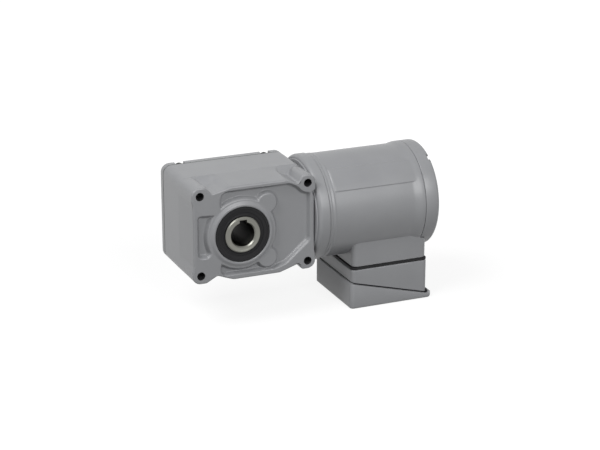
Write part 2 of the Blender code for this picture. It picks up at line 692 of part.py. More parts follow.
def make_case_screws(output):
    """Black cap screws that hold the case cover."""
    under = CASE_HALF_DEPTH - CASE_SCREW_HEAD
    reach = under - CASE_END_Y + CASE_SCREW_REACH - GAP
    profile = screw_profile(CASE_SCREW_RADIUS, CASE_SCREW_HEAD_RADIUS, CASE_SCREW_HEAD - GAP, reach,
                            2.5 * MM)
    profile = [(radius, under + along) for radius, along in profile]
    for number, (x, z) in enumerate(CASE_SCREWS, 1):
        screw = turned(f"case_cover_screw_{number}", profile, output, SCREW_SIDES, from_output(x, z))
        finish_piece(screw, BLACK_STEEL)


def make_hollow_shaft(output):
    """Hollow output shaft with its keyway at the top of the bore."""
    seat = OUTPUT_BEARING[0] - GAP
    shoulder = OUTPUT_BEARING_Y - OUTPUT_BEARING[2] / 2
    seat_end = OUTPUT_BEARING_Y + OUTPUT_BEARING[2] / 2
    half = SHAFT_HALF_LENGTH
    hub_end = GEAR_BACK_Y + 2.0 * MM
    profile = [
        (SHAFT_RADIUS, -half), (SHAFT_RADIUS, -seat_end), (seat, -seat_end), (seat, -shoulder + GAP),
        (SHAFT_BARREL_RADIUS, -shoulder + GAP), (SHAFT_BARREL_RADIUS, GEAR_HUB_START_Y - GAP),
        (GEAR_SEAT_RADIUS, GEAR_HUB_START_Y - GAP), (GEAR_SEAT_RADIUS, hub_end), (seat, hub_end),
        (seat, seat_end), (SHAFT_RADIUS, seat_end), (SHAFT_RADIUS, half), (BORE_RADIUS, half),
        (BORE_RADIUS, -half),
    ]
    shaft = turned("hollow_shaft", profile, output, FINE)
    reach = half + OVER
    cut(shaft, block("shaft_keyway", (-KEYWAY_WIDTH / 2, -reach, 0.0),
                     (KEYWAY_WIDTH / 2, reach, BORE_RADIUS + KEYWAY_DEPTH)))
    low, high = gear_key_span()
    half_key = GEAR_KEY_WIDTH / 2 + GAP
    cut(shaft, block("shaft_key_seat", (-half_key, low - GAP, -GEAR_SEAT_RADIUS - OVER),
                     (half_key, high + GAP, -GEAR_SEAT_RADIUS + GEAR_KEY_DEPTH)))
    return finish_piece(shaft, STEEL)


def gear_key_span():
    """Where the gear's key lies along the shaft."""
    return GEAR_HUB_START_Y + 1.5 * MM, GEAR_BACK_Y - 1.0 * MM


def pinion_half_width(radius):
    """Half the angle that a pinion tooth fills at a radius: an involute flank."""
    base = PITCH_RADIUS * math.cos(PRESSURE_ANGLE)
    angle = math.acos(min(1.0, base / radius))
    at_pitch = math.tan(PRESSURE_ANGLE) - PRESSURE_ANGLE
    return math.pi / (2 * PINION_TEETH) + at_pitch - (math.tan(angle) - angle)


def pinion_section(play=0.0, tip_play=0.0):
    """Corners (radius, angle) of the pinion's section, its teeth thicker by the play at each flank."""
    levels = (PINION_ROOT, PITCH_RADIUS, PINION_TIP)
    corners = []
    for tooth in range(PINION_TEETH):
        centre = 2 * math.pi * tooth / PINION_TEETH
        flank = [(level, pinion_half_width(level) + play / level) for level in levels]
        flank[-1] = (PINION_TIP + tip_play, flank[-1][1])
        corners += [(level, centre - half) for level, half in flank]
        corners += [(level, centre + half) for level, half in reversed(flank)]
    return corners


def pinion_twist(x):
    """How far the helical pinion's section is turned at a place along its axis."""
    return math.tan(HELIX_ANGLE) * (x - MESH_RADIUS) / PITCH_RADIUS


def make_pinion(motor):
    """Helical pinion with its shank, which sits in the end of the motor shaft."""
    slices = 5
    corners = pinion_section()
    bm = bmesh.new()
    rings = []
    for x in np.linspace(PINION_START_X, PINION_END_X, slices):
        turn = pinion_twist(x)
        ring = [bm.verts.new((-radius * math.sin(angle + turn), radius * math.cos(angle + turn), x))
                for radius, angle in corners]
        rings.append(ring)
    count = len(corners)
    for lower, upper in zip(rings, rings[1:]):
        for i in range(count):
            j = (i + 1) % count
            bm.faces.new((lower[i], lower[j], upper[j], upper[i]))
    bm.faces.new(rings[0])
    bm.faces.new(rings[-1])
    pinion = add_object("hypoid_pinion", mesh_from(bm, "hypoid_pinion"), motor)
    collar_end = NOSE_X - 2.0 * MM
    join(pinion, drum("pinion_collar", PINION_ROOT + 4.0 * MM, PINION_END_X - OVER, collar_end, motor))
    join(pinion, drum("pinion_shank", PINION_SHANK_RADIUS, PINION_END_X, collar_end + PINION_SHANK, motor))
    return finish_piece(pinion, GEAR_STEEL)


def pinion_reach_table(steps=48, cell=0.2 * MM):
    """Largest y that the turning pinion section has over each z, for each step of one tooth pitch."""
    corners = pinion_section(TOOTH_PLAY, TIP_PLAY)
    radius = np.array([corner[0] for corner in corners])
    angle = np.array([corner[1] for corner in corners])
    y, z = radius * np.cos(angle), radius * np.sin(angle)
    blend = np.linspace(0.0, 1.0, 25)[:-1, None]
    y = (y * (1 - blend) + np.roll(y, -1) * blend).ravel()
    z = (z * (1 - blend) + np.roll(z, -1) * blend).ravel()
    half = int(math.ceil((PINION_TIP + TIP_PLAY) / cell)) + 1
    table = np.full((steps, 2 * half + 1), -1.0)
    for step in range(steps):
        turn = 2 * math.pi / PINION_TEETH * step / steps
        turned_y = y * math.cos(turn) - z * math.sin(turn)
        turned_z = y * math.sin(turn) + z * math.cos(turn)
        np.maximum.at(table[step], np.round(turned_z / cell).astype(int) + half, turned_y)
    return table, cell, half


def swept_depth(radius, angles, table, cell, half):
    """How far towards +Y the pinion sweeps over ring-gear points at one radius, as both turn in mesh."""
    limit = PINION_TIP + TIP_PLAY
    low = math.asin((MOTOR_AXIS_Z - limit) / radius)
    high = math.asin((MOTOR_AXIS_Z + limit) / radius)
    passing = np.linspace(low, high, 240)
    z = radius * np.sin(passing) - MOTOR_AXIS_Z
    x = radius * np.cos(passing)
    columns = np.clip(np.round(z / cell).astype(int) + half, 0, 2 * half)
    twist = np.tan(HELIX_ANGLE) * (x - MESH_RADIUS) / PITCH_RADIUS
    pitch = 2 * math.pi / PINION_TEETH
    turn = GEAR_RATIO * (passing[None, :] - angles[:, None]) + twist[None, :]
    rows = np.floor((turn % pitch) / pitch * len(table)).astype(int) % len(table)
    return table[rows, columns[None, :]].max(axis=1)


def tooth_space(radius, tip, table, cell, half, previous):
    """Angles and depths of six corners across one space between ring-gear teeth."""
    pitch = 2 * math.pi / GEAR_TEETH
    samples = 180
    angles = np.arange(samples) * pitch / samples
    depth = swept_depth(radius, angles, table, cell, half)
    start = int(depth.argmin())
    depth = np.append(np.roll(depth, -start), depth[start])
    angles = (np.arange(samples + 1) + start) * pitch / samples
    top = max(tip, float(depth.min()) + TOOTH_PLAY)
    deepest = float(depth.max())
    peak = int(depth.argmax())
    middle_level = (top + deepest) / 2
    corners = []
    for level, shown in ((top, top), (middle_level, middle_level), (deepest - 0.2 * MM, deepest)):
        rise = np.nonzero(depth[:peak + 1] < level)[0].max()
        fall = peak + np.nonzero(depth[peak:] < level)[0].min()
        corners.append((angles[rise], angles[fall], shown))
    lower = [(first, shown) for first, _, shown in corners]
    upper = [(second, shown) for _, second, shown in reversed(corners)]
    space = lower + upper
    middle = (space[0][0] + space[-1][0]) / 2
    shift = 0.0 if previous is None else round((previous - middle) / pitch) * pitch
    return [(angle + shift, shown) for angle, shown in space], middle + shift


def make_ring_gear(output):
    """Ring gear whose tooth spaces are what the pinion sweeps, with play; its hub sits on the hollow shaft."""
    table, cell, half = pinion_reach_table()
    tip = PINION_ROOT + TIP_PLAY
    radii = np.linspace(TEETH_INNER, TEETH_OUTER, 3)
    face_y = GEAR_BACK_Y - GEAR_WEB
    pitch = 2 * math.pi / GEAR_TEETH
    bm = bmesh.new()
    rows = []
    previous = None
    for radius in radii:
        space, previous = tooth_space(radius, tip, table, cell, half, previous)
        rows.append((radius, [(angle + tooth * pitch, depth) for tooth in range(GEAR_TEETH)
                              for angle, depth in space]))
    inner = [(angle, face_y + OVER) for angle, _ in rows[0][1]]
    outer = [(angle, face_y + OVER) for angle, _ in rows[-1][1]]
    loops = [(radii[0], inner), *rows, (radii[-1], outer)]
    rings = [[bm.verts.new((radius * math.cos(angle), -radius * math.sin(angle), depth))
              for angle, depth in loop] for radius, loop in loops]
    count = len(rings[0])
    for lower, upper in zip(rings, rings[1:] + rings[:1]):
        for i in range(count):
            j = (i + 1) % count
            bm.faces.new((lower[i], lower[j], upper[j], upper[i]))
    teeth = add_object("hypoid_gear_teeth", mesh_from(bm, "hypoid_gear_teeth"), output)
    bore = GEAR_SEAT_RADIUS + GAP
    rim = TEETH_OUTER + 0.6 * MM
    profile = [
        (bore, GEAR_HUB_START_Y), (GEAR_HUB_RADIUS, GEAR_HUB_START_Y), (GEAR_HUB_RADIUS, face_y),
        (rim, face_y), (rim, GEAR_BACK_Y), (GEAR_HUB_RADIUS, GEAR_BACK_Y),
        (GEAR_HUB_RADIUS, GEAR_BACK_Y + 2.0 * MM), (bore, GEAR_BACK_Y + 2.0 * MM),
    ]
    gear = turned("hypoid_gear", profile, output, FINE)
    join(gear, teeth)
    half_key = GEAR_KEY_WIDTH / 2 + GAP
    cut(gear, block("gear_key_slot", (-half_key, GEAR_HUB_START_Y - OVER, -bore - GEAR_KEY_DEPTH / 2 - GAP),
                    (half_key, GEAR_BACK_Y + 4.0 * MM, -GEAR_SEAT_RADIUS + OVER)))
    return finish_piece(gear, GEAR_STEEL)


def make_gear_key(output):
    """Key between the gear and the hollow shaft."""
    low, high = gear_key_span()
    bottom = -GEAR_SEAT_RADIUS - GEAR_KEY_DEPTH / 2
    key = block("gear_key", (-GEAR_KEY_WIDTH / 2, low, bottom),
                (GEAR_KEY_WIDTH / 2, high, -GEAR_SEAT_RADIUS + GEAR_KEY_DEPTH - GAP))
    return carry(finish_piece(key, STEEL), output)


def make_gear_spacer(output):
    """Sleeve that holds the gear's hub off the rear bearing."""
    start = GEAR_BACK_Y + 2.0 * MM + GAP
    end = OUTPUT_BEARING_Y - OUTPUT_BEARING[2] / 2 - GAP
    profile = tube_profile(OUTPUT_BEARING[0], OUTPUT_BEARING[0] + 3.6 * MM, start, end)
    return finish_piece(turned("gear_spacer", profile, output, FINE), STEEL)


def make_bearing(prefix, sizes, middle, parent):
    """A ball bearing: two rings with grooves, and the balls strung on their cage as one piece."""
    bore, outer, width, count = sizes
    pitch = (bore + outer) / 2
    half = width / 2
    ball = BALL_SHARE * (outer - bore)
    land = ball * 0.55
    groove = land + groove_depth(ball + GAP, half, land)
    inner_profile = [(bore, -half), (pitch - land, -half), (pitch - groove, 0.0), (pitch - land, half),
                     (bore, half)]
    outer_profile = [(outer, -half), (pitch + land, -half), (pitch + groove, 0.0), (pitch + land, half),
                     (outer, half)]
    for title, profile in (("outer_ring", outer_profile), ("inner_ring", inner_profile)):
        placed = [(radius, along + middle) for radius, along in profile]
        finish_piece(turned(f"{prefix}_{title}", placed, parent, FINE), STEEL)
    bm = bmesh.new()
    for number in range(count):
        angle = 2 * math.pi * number / count
        made = bmesh.ops.create_uvsphere(bm, u_segments=7, v_segments=4, radius=ball)
        bmesh.ops.translate(bm, verts=made["verts"],
                            vec=(pitch * math.cos(angle), pitch * math.sin(angle), middle))
    balls = add_object(prefix + "_balls_only", mesh_from(bm, prefix + "_balls_only"), parent)
    strip = 0.3 * ball
    ring = tube_profile(pitch - strip, pitch + strip, middle - strip, middle + strip)
    cage = turned(prefix + "_ball_cage", ring, parent, 2 * count)
    join(cage, balls)
    finish_piece(cage, STEEL)


def groove_depth(room, half, land):
    """Depth of a groove whose straight sides, from the ring's edges, clear the balls by their play."""
    a = half ** 2 - room ** 2
    b = 2 * land * half ** 2
    c = (land * half) ** 2 - (room * half) ** 2
    return (-b + math.sqrt(b ** 2 - 4 * a * c)) / (2 * a)


def make_oil_seal(name, side, output):
    """Rubber oil seal round the hollow shaft, its face a little sunk towards the lip."""
    face = SEAL_FACE
    back = face - SEAL_WIDTH
    inner = SHAFT_RADIUS + GAP
    profile = [(SEAL_RADIUS, face), (SEAL_RADIUS, back), (inner + 2.5 * MM, back), (inner, back + 2.0 * MM),
               (inner, face - 0.6 * MM), (SEAL_RADIUS - 2.0 * MM, face - 0.6 * MM),
               (SEAL_RADIUS - 2.4 * MM, face)]
    placed = [(radius, side * along) for radius, along in profile]
    return finish_piece(turned(name, placed, output, FINE), BLACK_RUBBER)


def bracket_screw_places():
    """Where the screws of the motor bracket lie across the motor axis."""
    return [(side_y * BRACKET_SCREW_Y, MOTOR_AXIS_Z + side_z * BRACKET_SCREW_Z)
            for side_y in (-1, 1) for side_z in (-1, 1)]


def front_bearing_middle():
    """Middle of the front motor bearing along the motor axis."""
    return NOSE_X + 3.8 * MM + MOTOR_FRONT_BEARING[2] / 2


def rear_bearing_middle():
    """Middle of the rear motor bearing along the motor axis."""
    return MOTOR_END_X - REAR_COVER_WALL - 1.9 * MM - MOTOR_REAR_BEARING[2] / 2


def make_motor_bracket(motor):
    """Motor bracket: the flange between case and motor, with a nose that holds the front bearing and seal."""
    bearing_end = front_bearing_middle() + MOTOR_FRONT_BEARING[2] / 2 + GAP
    seat = MOTOR_FRONT_BEARING[1] + GAP
    groove = NOSE_X + 1.8 * MM
    seal_start = bearing_end + 3.0 * MM
    flange_end = BRACKET_X + FLANGE_THICKNESS
    spigot_end = flange_end + 5.0 * MM
    o_ring_x = CASE_RIGHT - WALL / 2
    o_ring_floor = NOSE_RADIUS + GAP - 2 * O_RING_RADIUS - 2 * GAP
    profile = [
        (NOSE_RADIUS - OVER, NOSE_X), (NOSE_RADIUS, NOSE_X + OVER),
        (NOSE_RADIUS, o_ring_x - O_RING_RADIUS - GAP), (o_ring_floor, o_ring_x - O_RING_RADIUS - GAP),
        (o_ring_floor, o_ring_x + O_RING_RADIUS + GAP), (NOSE_RADIUS, o_ring_x + O_RING_RADIUS + GAP),
        (NOSE_RADIUS, BRACKET_X), (BRACKET_RADIUS - BRACKET_SHOULDER, BRACKET_X),
        (BRACKET_RADIUS, BRACKET_X + BRACKET_SHOULDER), (BRACKET_RADIUS, flange_end),
        (FRAME_BORE - GAP, flange_end), (FRAME_BORE - GAP, spigot_end), (FRAME_BORE - 3.5 * MM, spigot_end),
        (FRAME_BORE - 9.0 * MM, BRACKET_X + WALL), (MOTOR_SEAL_RADIUS + WALL, BRACKET_X + WALL),
        (MOTOR_SEAL_RADIUS + GAP, BRACKET_X), (MOTOR_SEAL_RADIUS + GAP, seal_start),
        (MOTOR_SEAL_RADIUS - 1.5 * MM, seal_start), (MOTOR_SEAL_RADIUS - 1.5 * MM, bearing_end),
        (seat, bearing_end), (seat, groove + 1.6 * MM), (seat + 1.5 * MM, groove + 1.6 * MM),
        (seat + 1.5 * MM, groove), (seat, groove), (seat, NOSE_X),
    ]
    bracket = turned("motor_bracket", profile, motor, FINE)
    for number, (y, z) in enumerate(bracket_screw_places()):
        spot = from_motor(y, z)
        cut(bracket, drum(f"bracket_screw_hole_{number}", M5_HOLE, BRACKET_X - OVER, flange_end + OVER,
                          motor,
                          spot, SCREW_SIDES))
        cut(bracket, drum(f"bracket_screw_pocket_{number}", M5_HEAD_RADIUS + GAP, BRACKET_X + WALL,
                          spigot_end + OVER, motor, spot, SCREW_SIDES))
    return finish_piece(bracket, PAINT)


def make_bracket_screws(motor):
    """Cap screws that hold the bracket to the gear case."""
    under = BRACKET_X + WALL + GAP
    reach = under - CASE_RIGHT + BRACKET_SCREW_BOSS - 1.5 * MM
    profile = [(radius, under + along)
               for radius, along in screw_profile(M5_RADIUS, M5_HEAD_RADIUS, M5_HEAD, reach)]
    for number, (y, z) in enumerate(bracket_screw_places(), 1):
        screw = turned(f"bracket_screw_{number}", profile, motor, SCREW_SIDES, from_motor(y, z))
        finish_piece(screw, BLACK_STEEL)


def make_bracket_small_parts(motor):
    """O-ring, retaining ring and oil seal in the bracket."""
    o_ring_x = CASE_RIGHT - WALL / 2
    centre = NOSE_RADIUS - O_RING_RADIUS - GAP / 2
    sides = 6
    profile = [(centre + O_RING_RADIUS * math.cos(2 * math.pi * i / sides),
                o_ring_x + O_RING_RADIUS * math.sin(2 * math.pi * i / sides)) for i in range(sides)]
    finish_piece(turned("bracket_o_ring", profile, motor, FINE), BLACK_RUBBER)
    seat = MOTOR_FRONT_BEARING[1]
    start = NOSE_X + 1.8 * MM + GAP / 2
    profile = tube_profile(seat - 2.4 * MM, seat + 1.2 * MM, start, start + 1.2 * MM)
    ring = turned("bearing_retaining_ring", profile, motor)
    cut(ring, block("retaining_ring_gap", (start - OVER, -3.0 * MM, MOTOR_AXIS_Z),
                    (start + 3.0 * MM, 3.0 * MM, MOTOR_AXIS_Z + 2 * seat)))
    finish_piece(ring, BLACK_STEEL)
    bearing_end = front_bearing_middle() + MOTOR_FRONT_BEARING[2] / 2 + GAP
    start = bearing_end + 3.0 * MM + GAP
    shaft = motor_shaft_radius()
    profile = [(MOTOR_SEAL_RADIUS, start), (MOTOR_SEAL_RADIUS, start + MOTOR_SEAL_WIDTH),
               (shaft + 3.0 * MM, start + MOTOR_SEAL_WIDTH), (shaft + GAP, start + MOTOR_SEAL_WIDTH / 2),
               (shaft + GAP, start)]
    finish_piece(turned("motor_oil_seal", profile, motor), BLACK_RUBBER)


def motor_shaft_radius():
    """Radius of the motor shaft at its front bearing and seal."""
    return MOTOR_FRONT_BEARING[0] - GAP


def rear_screw_places():
    """Where the rear cover's screws lie across the motor axis."""
    across = REAR_SCREW_CIRCLE * math.cos(REAR_SCREW_ANGLE)
    rise = REAR_SCREW_CIRCLE * math.sin(REAR_SCREW_ANGLE)
    return [(side_y * across, MOTOR_AXIS_Z + side_z * rise) for side_y in (-1, 1) for side_z in (-1, 1)]


def make_motor_frame(motor):
    """Motor frame: a tube with screw bosses inside its rear end and the terminal box's seat under it."""
    long_end = FRAME_END_X + OVER
    profile = [(MOTOR_RADIUS, FRAME_X), (MOTOR_RADIUS, FLARE_X), (END_RADIUS, FLARE_X + FLARE_LENGTH),
               (END_RADIUS, long_end), (0.0, long_end), (0.0, FRAME_X)]
    frame = turned("motor_frame", profile, motor, FINE)
    left = BOX_LEFT_X + SEAT_INSET
    right = BOX_RIGHT_X - 2 * SEAT_INSET
    outline = rounded(rectangle(left, right, -BOX_HALF_WIDTH, BOX_HALF_WIDTH, SEAT_CORNER))
    join(frame, slab("frame_seat", outline, SEAT_Z, MOTOR_AXIS_Z - MOTOR_RADIUS / 2, along="Z"))
    room = slab("frame_seat_room", rounded(rectangle(left + FRAME_WALL, right - FRAME_WALL,
                                                     FRAME_WALL - BOX_HALF_WIDTH,
                                                     BOX_HALF_WIDTH - FRAME_WALL,
                                                     2.0 * MM)),
                SEAT_Z - OVER, MOTOR_AXIS_Z, along="Z")
    cut(room, drum("frame_seat_roof", MOTOR_RADIUS - GAP, FRAME_X, FRAME_END_X + 2 * WALL, motor,
                   sides=FINE))
    cut(frame, room)
    for number, (x, y) in enumerate(seat_screw_places()):
        join(frame, upright(f"seat_screw_boss_{number}", SEAT_SCREW_COLUMN, SEAT_Z,
                            MOTOR_AXIS_Z - 0.9 * FRAME_BORE,
                            x, y, SCREW_SIDES))
    cut(frame, drum("frame_bore", FRAME_BORE, FRAME_X - OVER, long_end + OVER, motor, sides=FINE))
    for number, (y, z) in enumerate(rear_screw_places()):
        join(frame, drum(f"frame_screw_boss_{number}", REAR_SCREW_BOSS_RADIUS, FRAME_END_X - REAR_SCREW_BOSS,
                         long_end - GAP, motor, from_motor(y, z)))
    cut(frame, drum("frame_end_trim", END_RADIUS + 3 * GAP, FRAME_END_X, FRAME_END_X + 4 * WALL, motor,
                    sides=FINE))
    for number, (y, z) in enumerate(rear_screw_places()):
        cut(frame, drum(f"frame_screw_hole_{number}", M5_HOLE, FRAME_END_X - REAR_SCREW_BOSS + 3.0 * MM,
                        FRAME_END_X + OVER, motor, from_motor(y, z), SCREW_SIDES))
    low = MOTOR_AXIS_Z - FRAME_BORE - 3 * FRAME_WALL
    high = MOTOR_AXIS_Z - 0.7 * FRAME_BORE
    cut(frame, block("frame_lead_window", (LEAD_WINDOW_X[0], -LEAD_WINDOW_HALF_WIDTH, low),
                     (LEAD_WINDOW_X[1], LEAD_WINDOW_HALF_WIDTH, high)))
    for number, (x, y) in enumerate(seat_screw_places()):
        cut(frame, upright(f"seat_screw_hole_{number}", M5_HOLE, SEAT_Z - OVER, SEAT_Z + SEAT_SCREW_DEPTH, x,
                           y,
                           SCREW_SIDES))
    return finish_piece(frame, PAINT)


def make_rear_cover(motor):
    """Rear cover of the motor, with the rear bearing's hub inside and a notch at each screw."""
    inner = MOTOR_END_X - REAR_COVER_WALL
    bearing_outer = MOTOR_REAR_BEARING[1] + GAP
    hub = bearing_outer + 4.2 * MM
    hub_start = rear_bearing_middle() - MOTOR_REAR_BEARING[2] / 2
    profile = [
        (0.0, MOTOR_END_X), (END_RADIUS - REAR_COVER_ROUND, MOTOR_END_X),
        (END_RADIUS - 0.3 * REAR_COVER_ROUND, MOTOR_END_X - 0.3 * REAR_COVER_ROUND),
        (END_RADIUS, MOTOR_END_X - REAR_COVER_ROUND),
        (END_RADIUS, REAR_COVER_X), (FRAME_BORE, REAR_COVER_X), (FRAME_BORE, inner),
        (hub, inner), (hub, hub_start), (bearing_outer, hub_start), (bearing_outer, inner), (0.0, inner),
    ]
    cover = turned("motor_rear_cover", profile, motor, FINE)
    floor = REAR_COVER_X + REAR_SCREW_SEAT
    half = M5_HEAD_RADIUS + GAP
    boss_radius = half + 2.0 * MM
    inward = 1.0 - (REAR_SCREW_CIRCLE + boss_radius - END_RADIUS + 2 * GAP) / REAR_SCREW_CIRCLE
    for number, (y, z) in enumerate(rear_screw_places()):
        spot = [inward * place for place in from_motor(y, z)]
        join(cover, drum(f"rear_cover_boss_{number}", boss_radius, REAR_COVER_X + GAP, inner + OVER, motor,
                         spot))
    for number, (y, z) in enumerate(rear_screw_places()):
        spot = from_motor(y, z)
        cut(cover, drum(f"rear_cover_hole_{number}", M5_HOLE, REAR_COVER_X - OVER, floor + OVER, motor, spot,
                        SCREW_SIDES))
        cut(cover, drum(f"rear_cover_pocket_{number}", half, floor, MOTOR_END_X + OVER, motor, spot))
        notch = block(f"rear_cover_notch_{number}", (REAR_SCREW_CIRCLE, -half, floor),
                      (REAR_SCREW_CIRCLE + 3 * half, half, MOTOR_END_X + OVER))
        notch.parent = motor
        notch.rotation_euler = (0.0, 0.0, math.atan2(spot[1], spot[0]))
        cut(cover, notch)
    return finish_piece(cover, PAINT)


def make_rear_screws(motor):
    """Black cap screws of the rear cover."""
    under = REAR_COVER_X + REAR_SCREW_SEAT + GAP
    reach = under - FRAME_END_X + REAR_SCREW_BOSS - 5.0 * MM
    profile = [(radius, under + along)
               for radius, along in screw_profile(M5_RADIUS, M5_HEAD_RADIUS, M5_HEAD, reach, 2.2 * MM)]
    for number, (y, z) in enumerate(rear_screw_places(), 1):
        screw = turned(f"rear_cover_screw_{number}", profile, motor, SCREW_SIDES, from_motor(y, z))
        finish_piece(screw, BLACK_STEEL)


def spokes(name, count, circle, radius, start, end, motor):
    """Bars along the motor axis, evenly spread on a circle, as one tool."""
    bm = bmesh.new()
    for number in range(count):
        angle = 2 * math.pi * (number + 0.5) / count
        made = bmesh.ops.create_cone(bm, cap_ends=True, segments=SCREW_SIDES, radius1=radius, radius2=radius,
                                     depth=end - start)
        bmesh.ops.translate(bm, verts=made["verts"],
                            vec=(circle * math.cos(angle), circle * math.sin(angle), (start + end) / 2))
    return add_object(name, mesh_from(bm, name), motor)


def make_stator(motor):
    """Laminated stator core, and its windings: two end turns joined by the coils in the core's slots."""
    end = CORE_START_X + CORE_LENGTH
    inner, outer = WINDING_RADII
    circle = (inner + outer) / 2
    core = turned("stator_core", tube_profile(ROTOR_RADIUS + AIR_GAP, FRAME_BORE - GAP, CORE_START_X, end),
                  motor,
                  FINE)
    cut(core, spokes("stator_slots", COILS, circle, COIL_RADIUS + GAP, CORE_START_X - OVER, end + OVER,
                     motor))
    finish_piece(core, LAMINATION)
    windings = turned("stator_windings", tube_profile(inner, outer, CORE_START_X - WINDING_OVERHANG,
                                                      CORE_START_X - GAP), motor)
    rear = tube_profile(inner, outer, end + GAP, end + WINDING_OVERHANG)
    join(windings, turned("windings_rear", rear, motor))
    join(windings, spokes("windings_coils", COILS, circle, COIL_RADIUS, CORE_START_X - WALL, end + WALL,
                          motor))
    finish_piece(windings, COPPER)


def make_rotor(motor):
    """Rotor core, and the cast cage: two end rings joined by bars through the core."""
    end = CORE_START_X + CORE_LENGTH
    inner, outer = END_RING_RADII
    circle = outer - CAGE_BAR_RADIUS - 1.0 * MM
    core = turned("rotor_core", tube_profile(ROTOR_SEAT_RADIUS + GAP, ROTOR_RADIUS, CORE_START_X, end),
                  motor,
                  FINE)
    cut(core, spokes("rotor_slots", CAGE_BARS, circle, CAGE_BAR_RADIUS + GAP, CORE_START_X - OVER,
                     end + OVER,
                     motor))
    finish_piece(core, LAMINATION)
    cage = turned("rotor_cage", tube_profile(inner, outer, CORE_START_X - END_RING_LENGTH,
                                             CORE_START_X - GAP),
                  motor)
    join(cage, turned("cage_rear_ring", tube_profile(inner, outer, end + GAP, end + END_RING_LENGTH), motor))
    join(cage, spokes("cage_bars", CAGE_BARS, circle, CAGE_BAR_RADIUS, CORE_START_X - WALL, end + WALL,
                      motor))
    finish_piece(cage, ALUMINIUM)


def make_motor_shaft(motor):
    """Motor shaft, bored at its front end for the pinion's shank."""
    start = NOSE_X - 2.0 * MM + GAP
    journal = motor_shaft_radius()
    bearing_end = front_bearing_middle() + MOTOR_FRONT_BEARING[2] / 2
    rear_start = rear_bearing_middle() - MOTOR_REAR_BEARING[2] / 2
    rear_end = rear_bearing_middle() + MOTOR_REAR_BEARING[2] / 2
    core_end = CORE_START_X + CORE_LENGTH
    collar = bearing_end + GAP
    bore = PINION_SHANK_RADIUS + GAP
    bore_end = NOSE_X - 2.0 * MM + PINION_SHANK + GAP
    rear_journal = MOTOR_REAR_BEARING[0] - GAP
    profile = [
        (bore, start), (journal, start), (journal, collar), (SHAFT_COLLAR_RADIUS, collar),
        (SHAFT_COLLAR_RADIUS, collar + 2.4 * MM), (journal, collar + 2.4 * MM),
        (journal, CORE_START_X - WINDING_OVERHANG), (ROTOR_SEAT_RADIUS, CORE_START_X - END_RING_LENGTH),
        (ROTOR_SEAT_RADIUS, core_end), (ROTOR_SEAT_RADIUS - 2.0 * MM, core_end + 2.0 * MM),
        (ROTOR_SEAT_RADIUS - 2.0 * MM, rear_start - GAP), (rear_journal, rear_start - GAP),
        (rear_journal, rear_end), (0.0, rear_end), (0.0, bore_end), (bore, bore_end),
    ]
    return finish_piece(turned("motor_shaft", profile, motor, FINE), STEEL)


def make_wave_washer(motor):
    """Spring washer between the rear bearing and the rear cover."""
    start = rear_bearing_middle() + MOTOR_REAR_BEARING[2] / 2 + GAP
    end = MOTOR_END_X - REAR_COVER_WALL - GAP
    outer = MOTOR_REAR_BEARING[1] - 0.5 * MM
    return finish_piece(turned("wave_washer", tube_profile(outer - 3.0 * MM, outer, start, end), motor),
                        STEEL)


def seat_screw_places():
    """Where the screws between the terminal box and its seat stand."""
    return [(x, 0.0) for x in SEAT_SCREW_X]


def box_screw_places():
    """Where the box cover's screws stand."""
    return [(x, side * (BOX_HALF_WIDTH - BOX_SCREW_INSET))
            for x in (BOX_LEFT_X + BOX_SCREW_INSET, BOX_RIGHT_X - BOX_SCREW_INSET) for side in (-1, 1)]


def joint_z(x):
    """Height of the slanted joint between box and cover."""
    return JOINT_LEFT_Z - JOINT_DROP * (x - BOX_LEFT_X) / BOX_LENGTH


def box_walls(name, low, high, grow=0.0, right=0.0):
    """Upright prism with the box's outline, larger all round by grow and longer to the right by right."""
    half = BOX_HALF_WIDTH + grow
    outline = rounded(rectangle(BOX_LEFT_X - grow, BOX_RIGHT_X + right, -half, half, BOX_CORNER))
    return slab(name, outline, low, high, along="Z")


def box_room(name, low, high):
    """The box's inside as an upright prism, less the four screw columns in its corners."""
    inset = BOX_WALL
    half = BOX_HALF_WIDTH - inset
    outline = rounded(rectangle(BOX_LEFT_X + inset, BOX_RIGHT_X - inset, -half, half,
                                BOX_CORNER - inset / 2))
    room = slab(name, outline, low, high, along="Z")
    for number, (x, y) in enumerate(box_screw_places()):
        cut(room, upright(f"{name}_column_{number}", BOX_SCREW_COLUMN, low - OVER, high + OVER, x, y))
    return room


def lead_window(name, low, high):
    """The opening that the motor leads pass through."""
    return block(name, (LEAD_WINDOW_X[0], -LEAD_WINDOW_HALF_WIDTH, low),
                 (LEAD_WINDOW_X[1], LEAD_WINDOW_HALF_WIDTH, high))


def make_box_gasket():
    """Flat gasket between the seat and the terminal box."""
    low = BASE_TOP_Z + GAP
    high = SEAT_Z - GAP
    gasket = box_walls("terminal_box_gasket", low, high)
    cut(gasket, lead_window("gasket_lead_window", low - OVER, high + OVER))
    for number, (x, y) in enumerate(seat_screw_places()):
        cut(gasket, upright(f"gasket_screw_hole_{number}", M5_HOLE, low - OVER, high + OVER, x, y,
                            SCREW_SIDES))
    return finish_piece(gasket, BLACK_RUBBER)


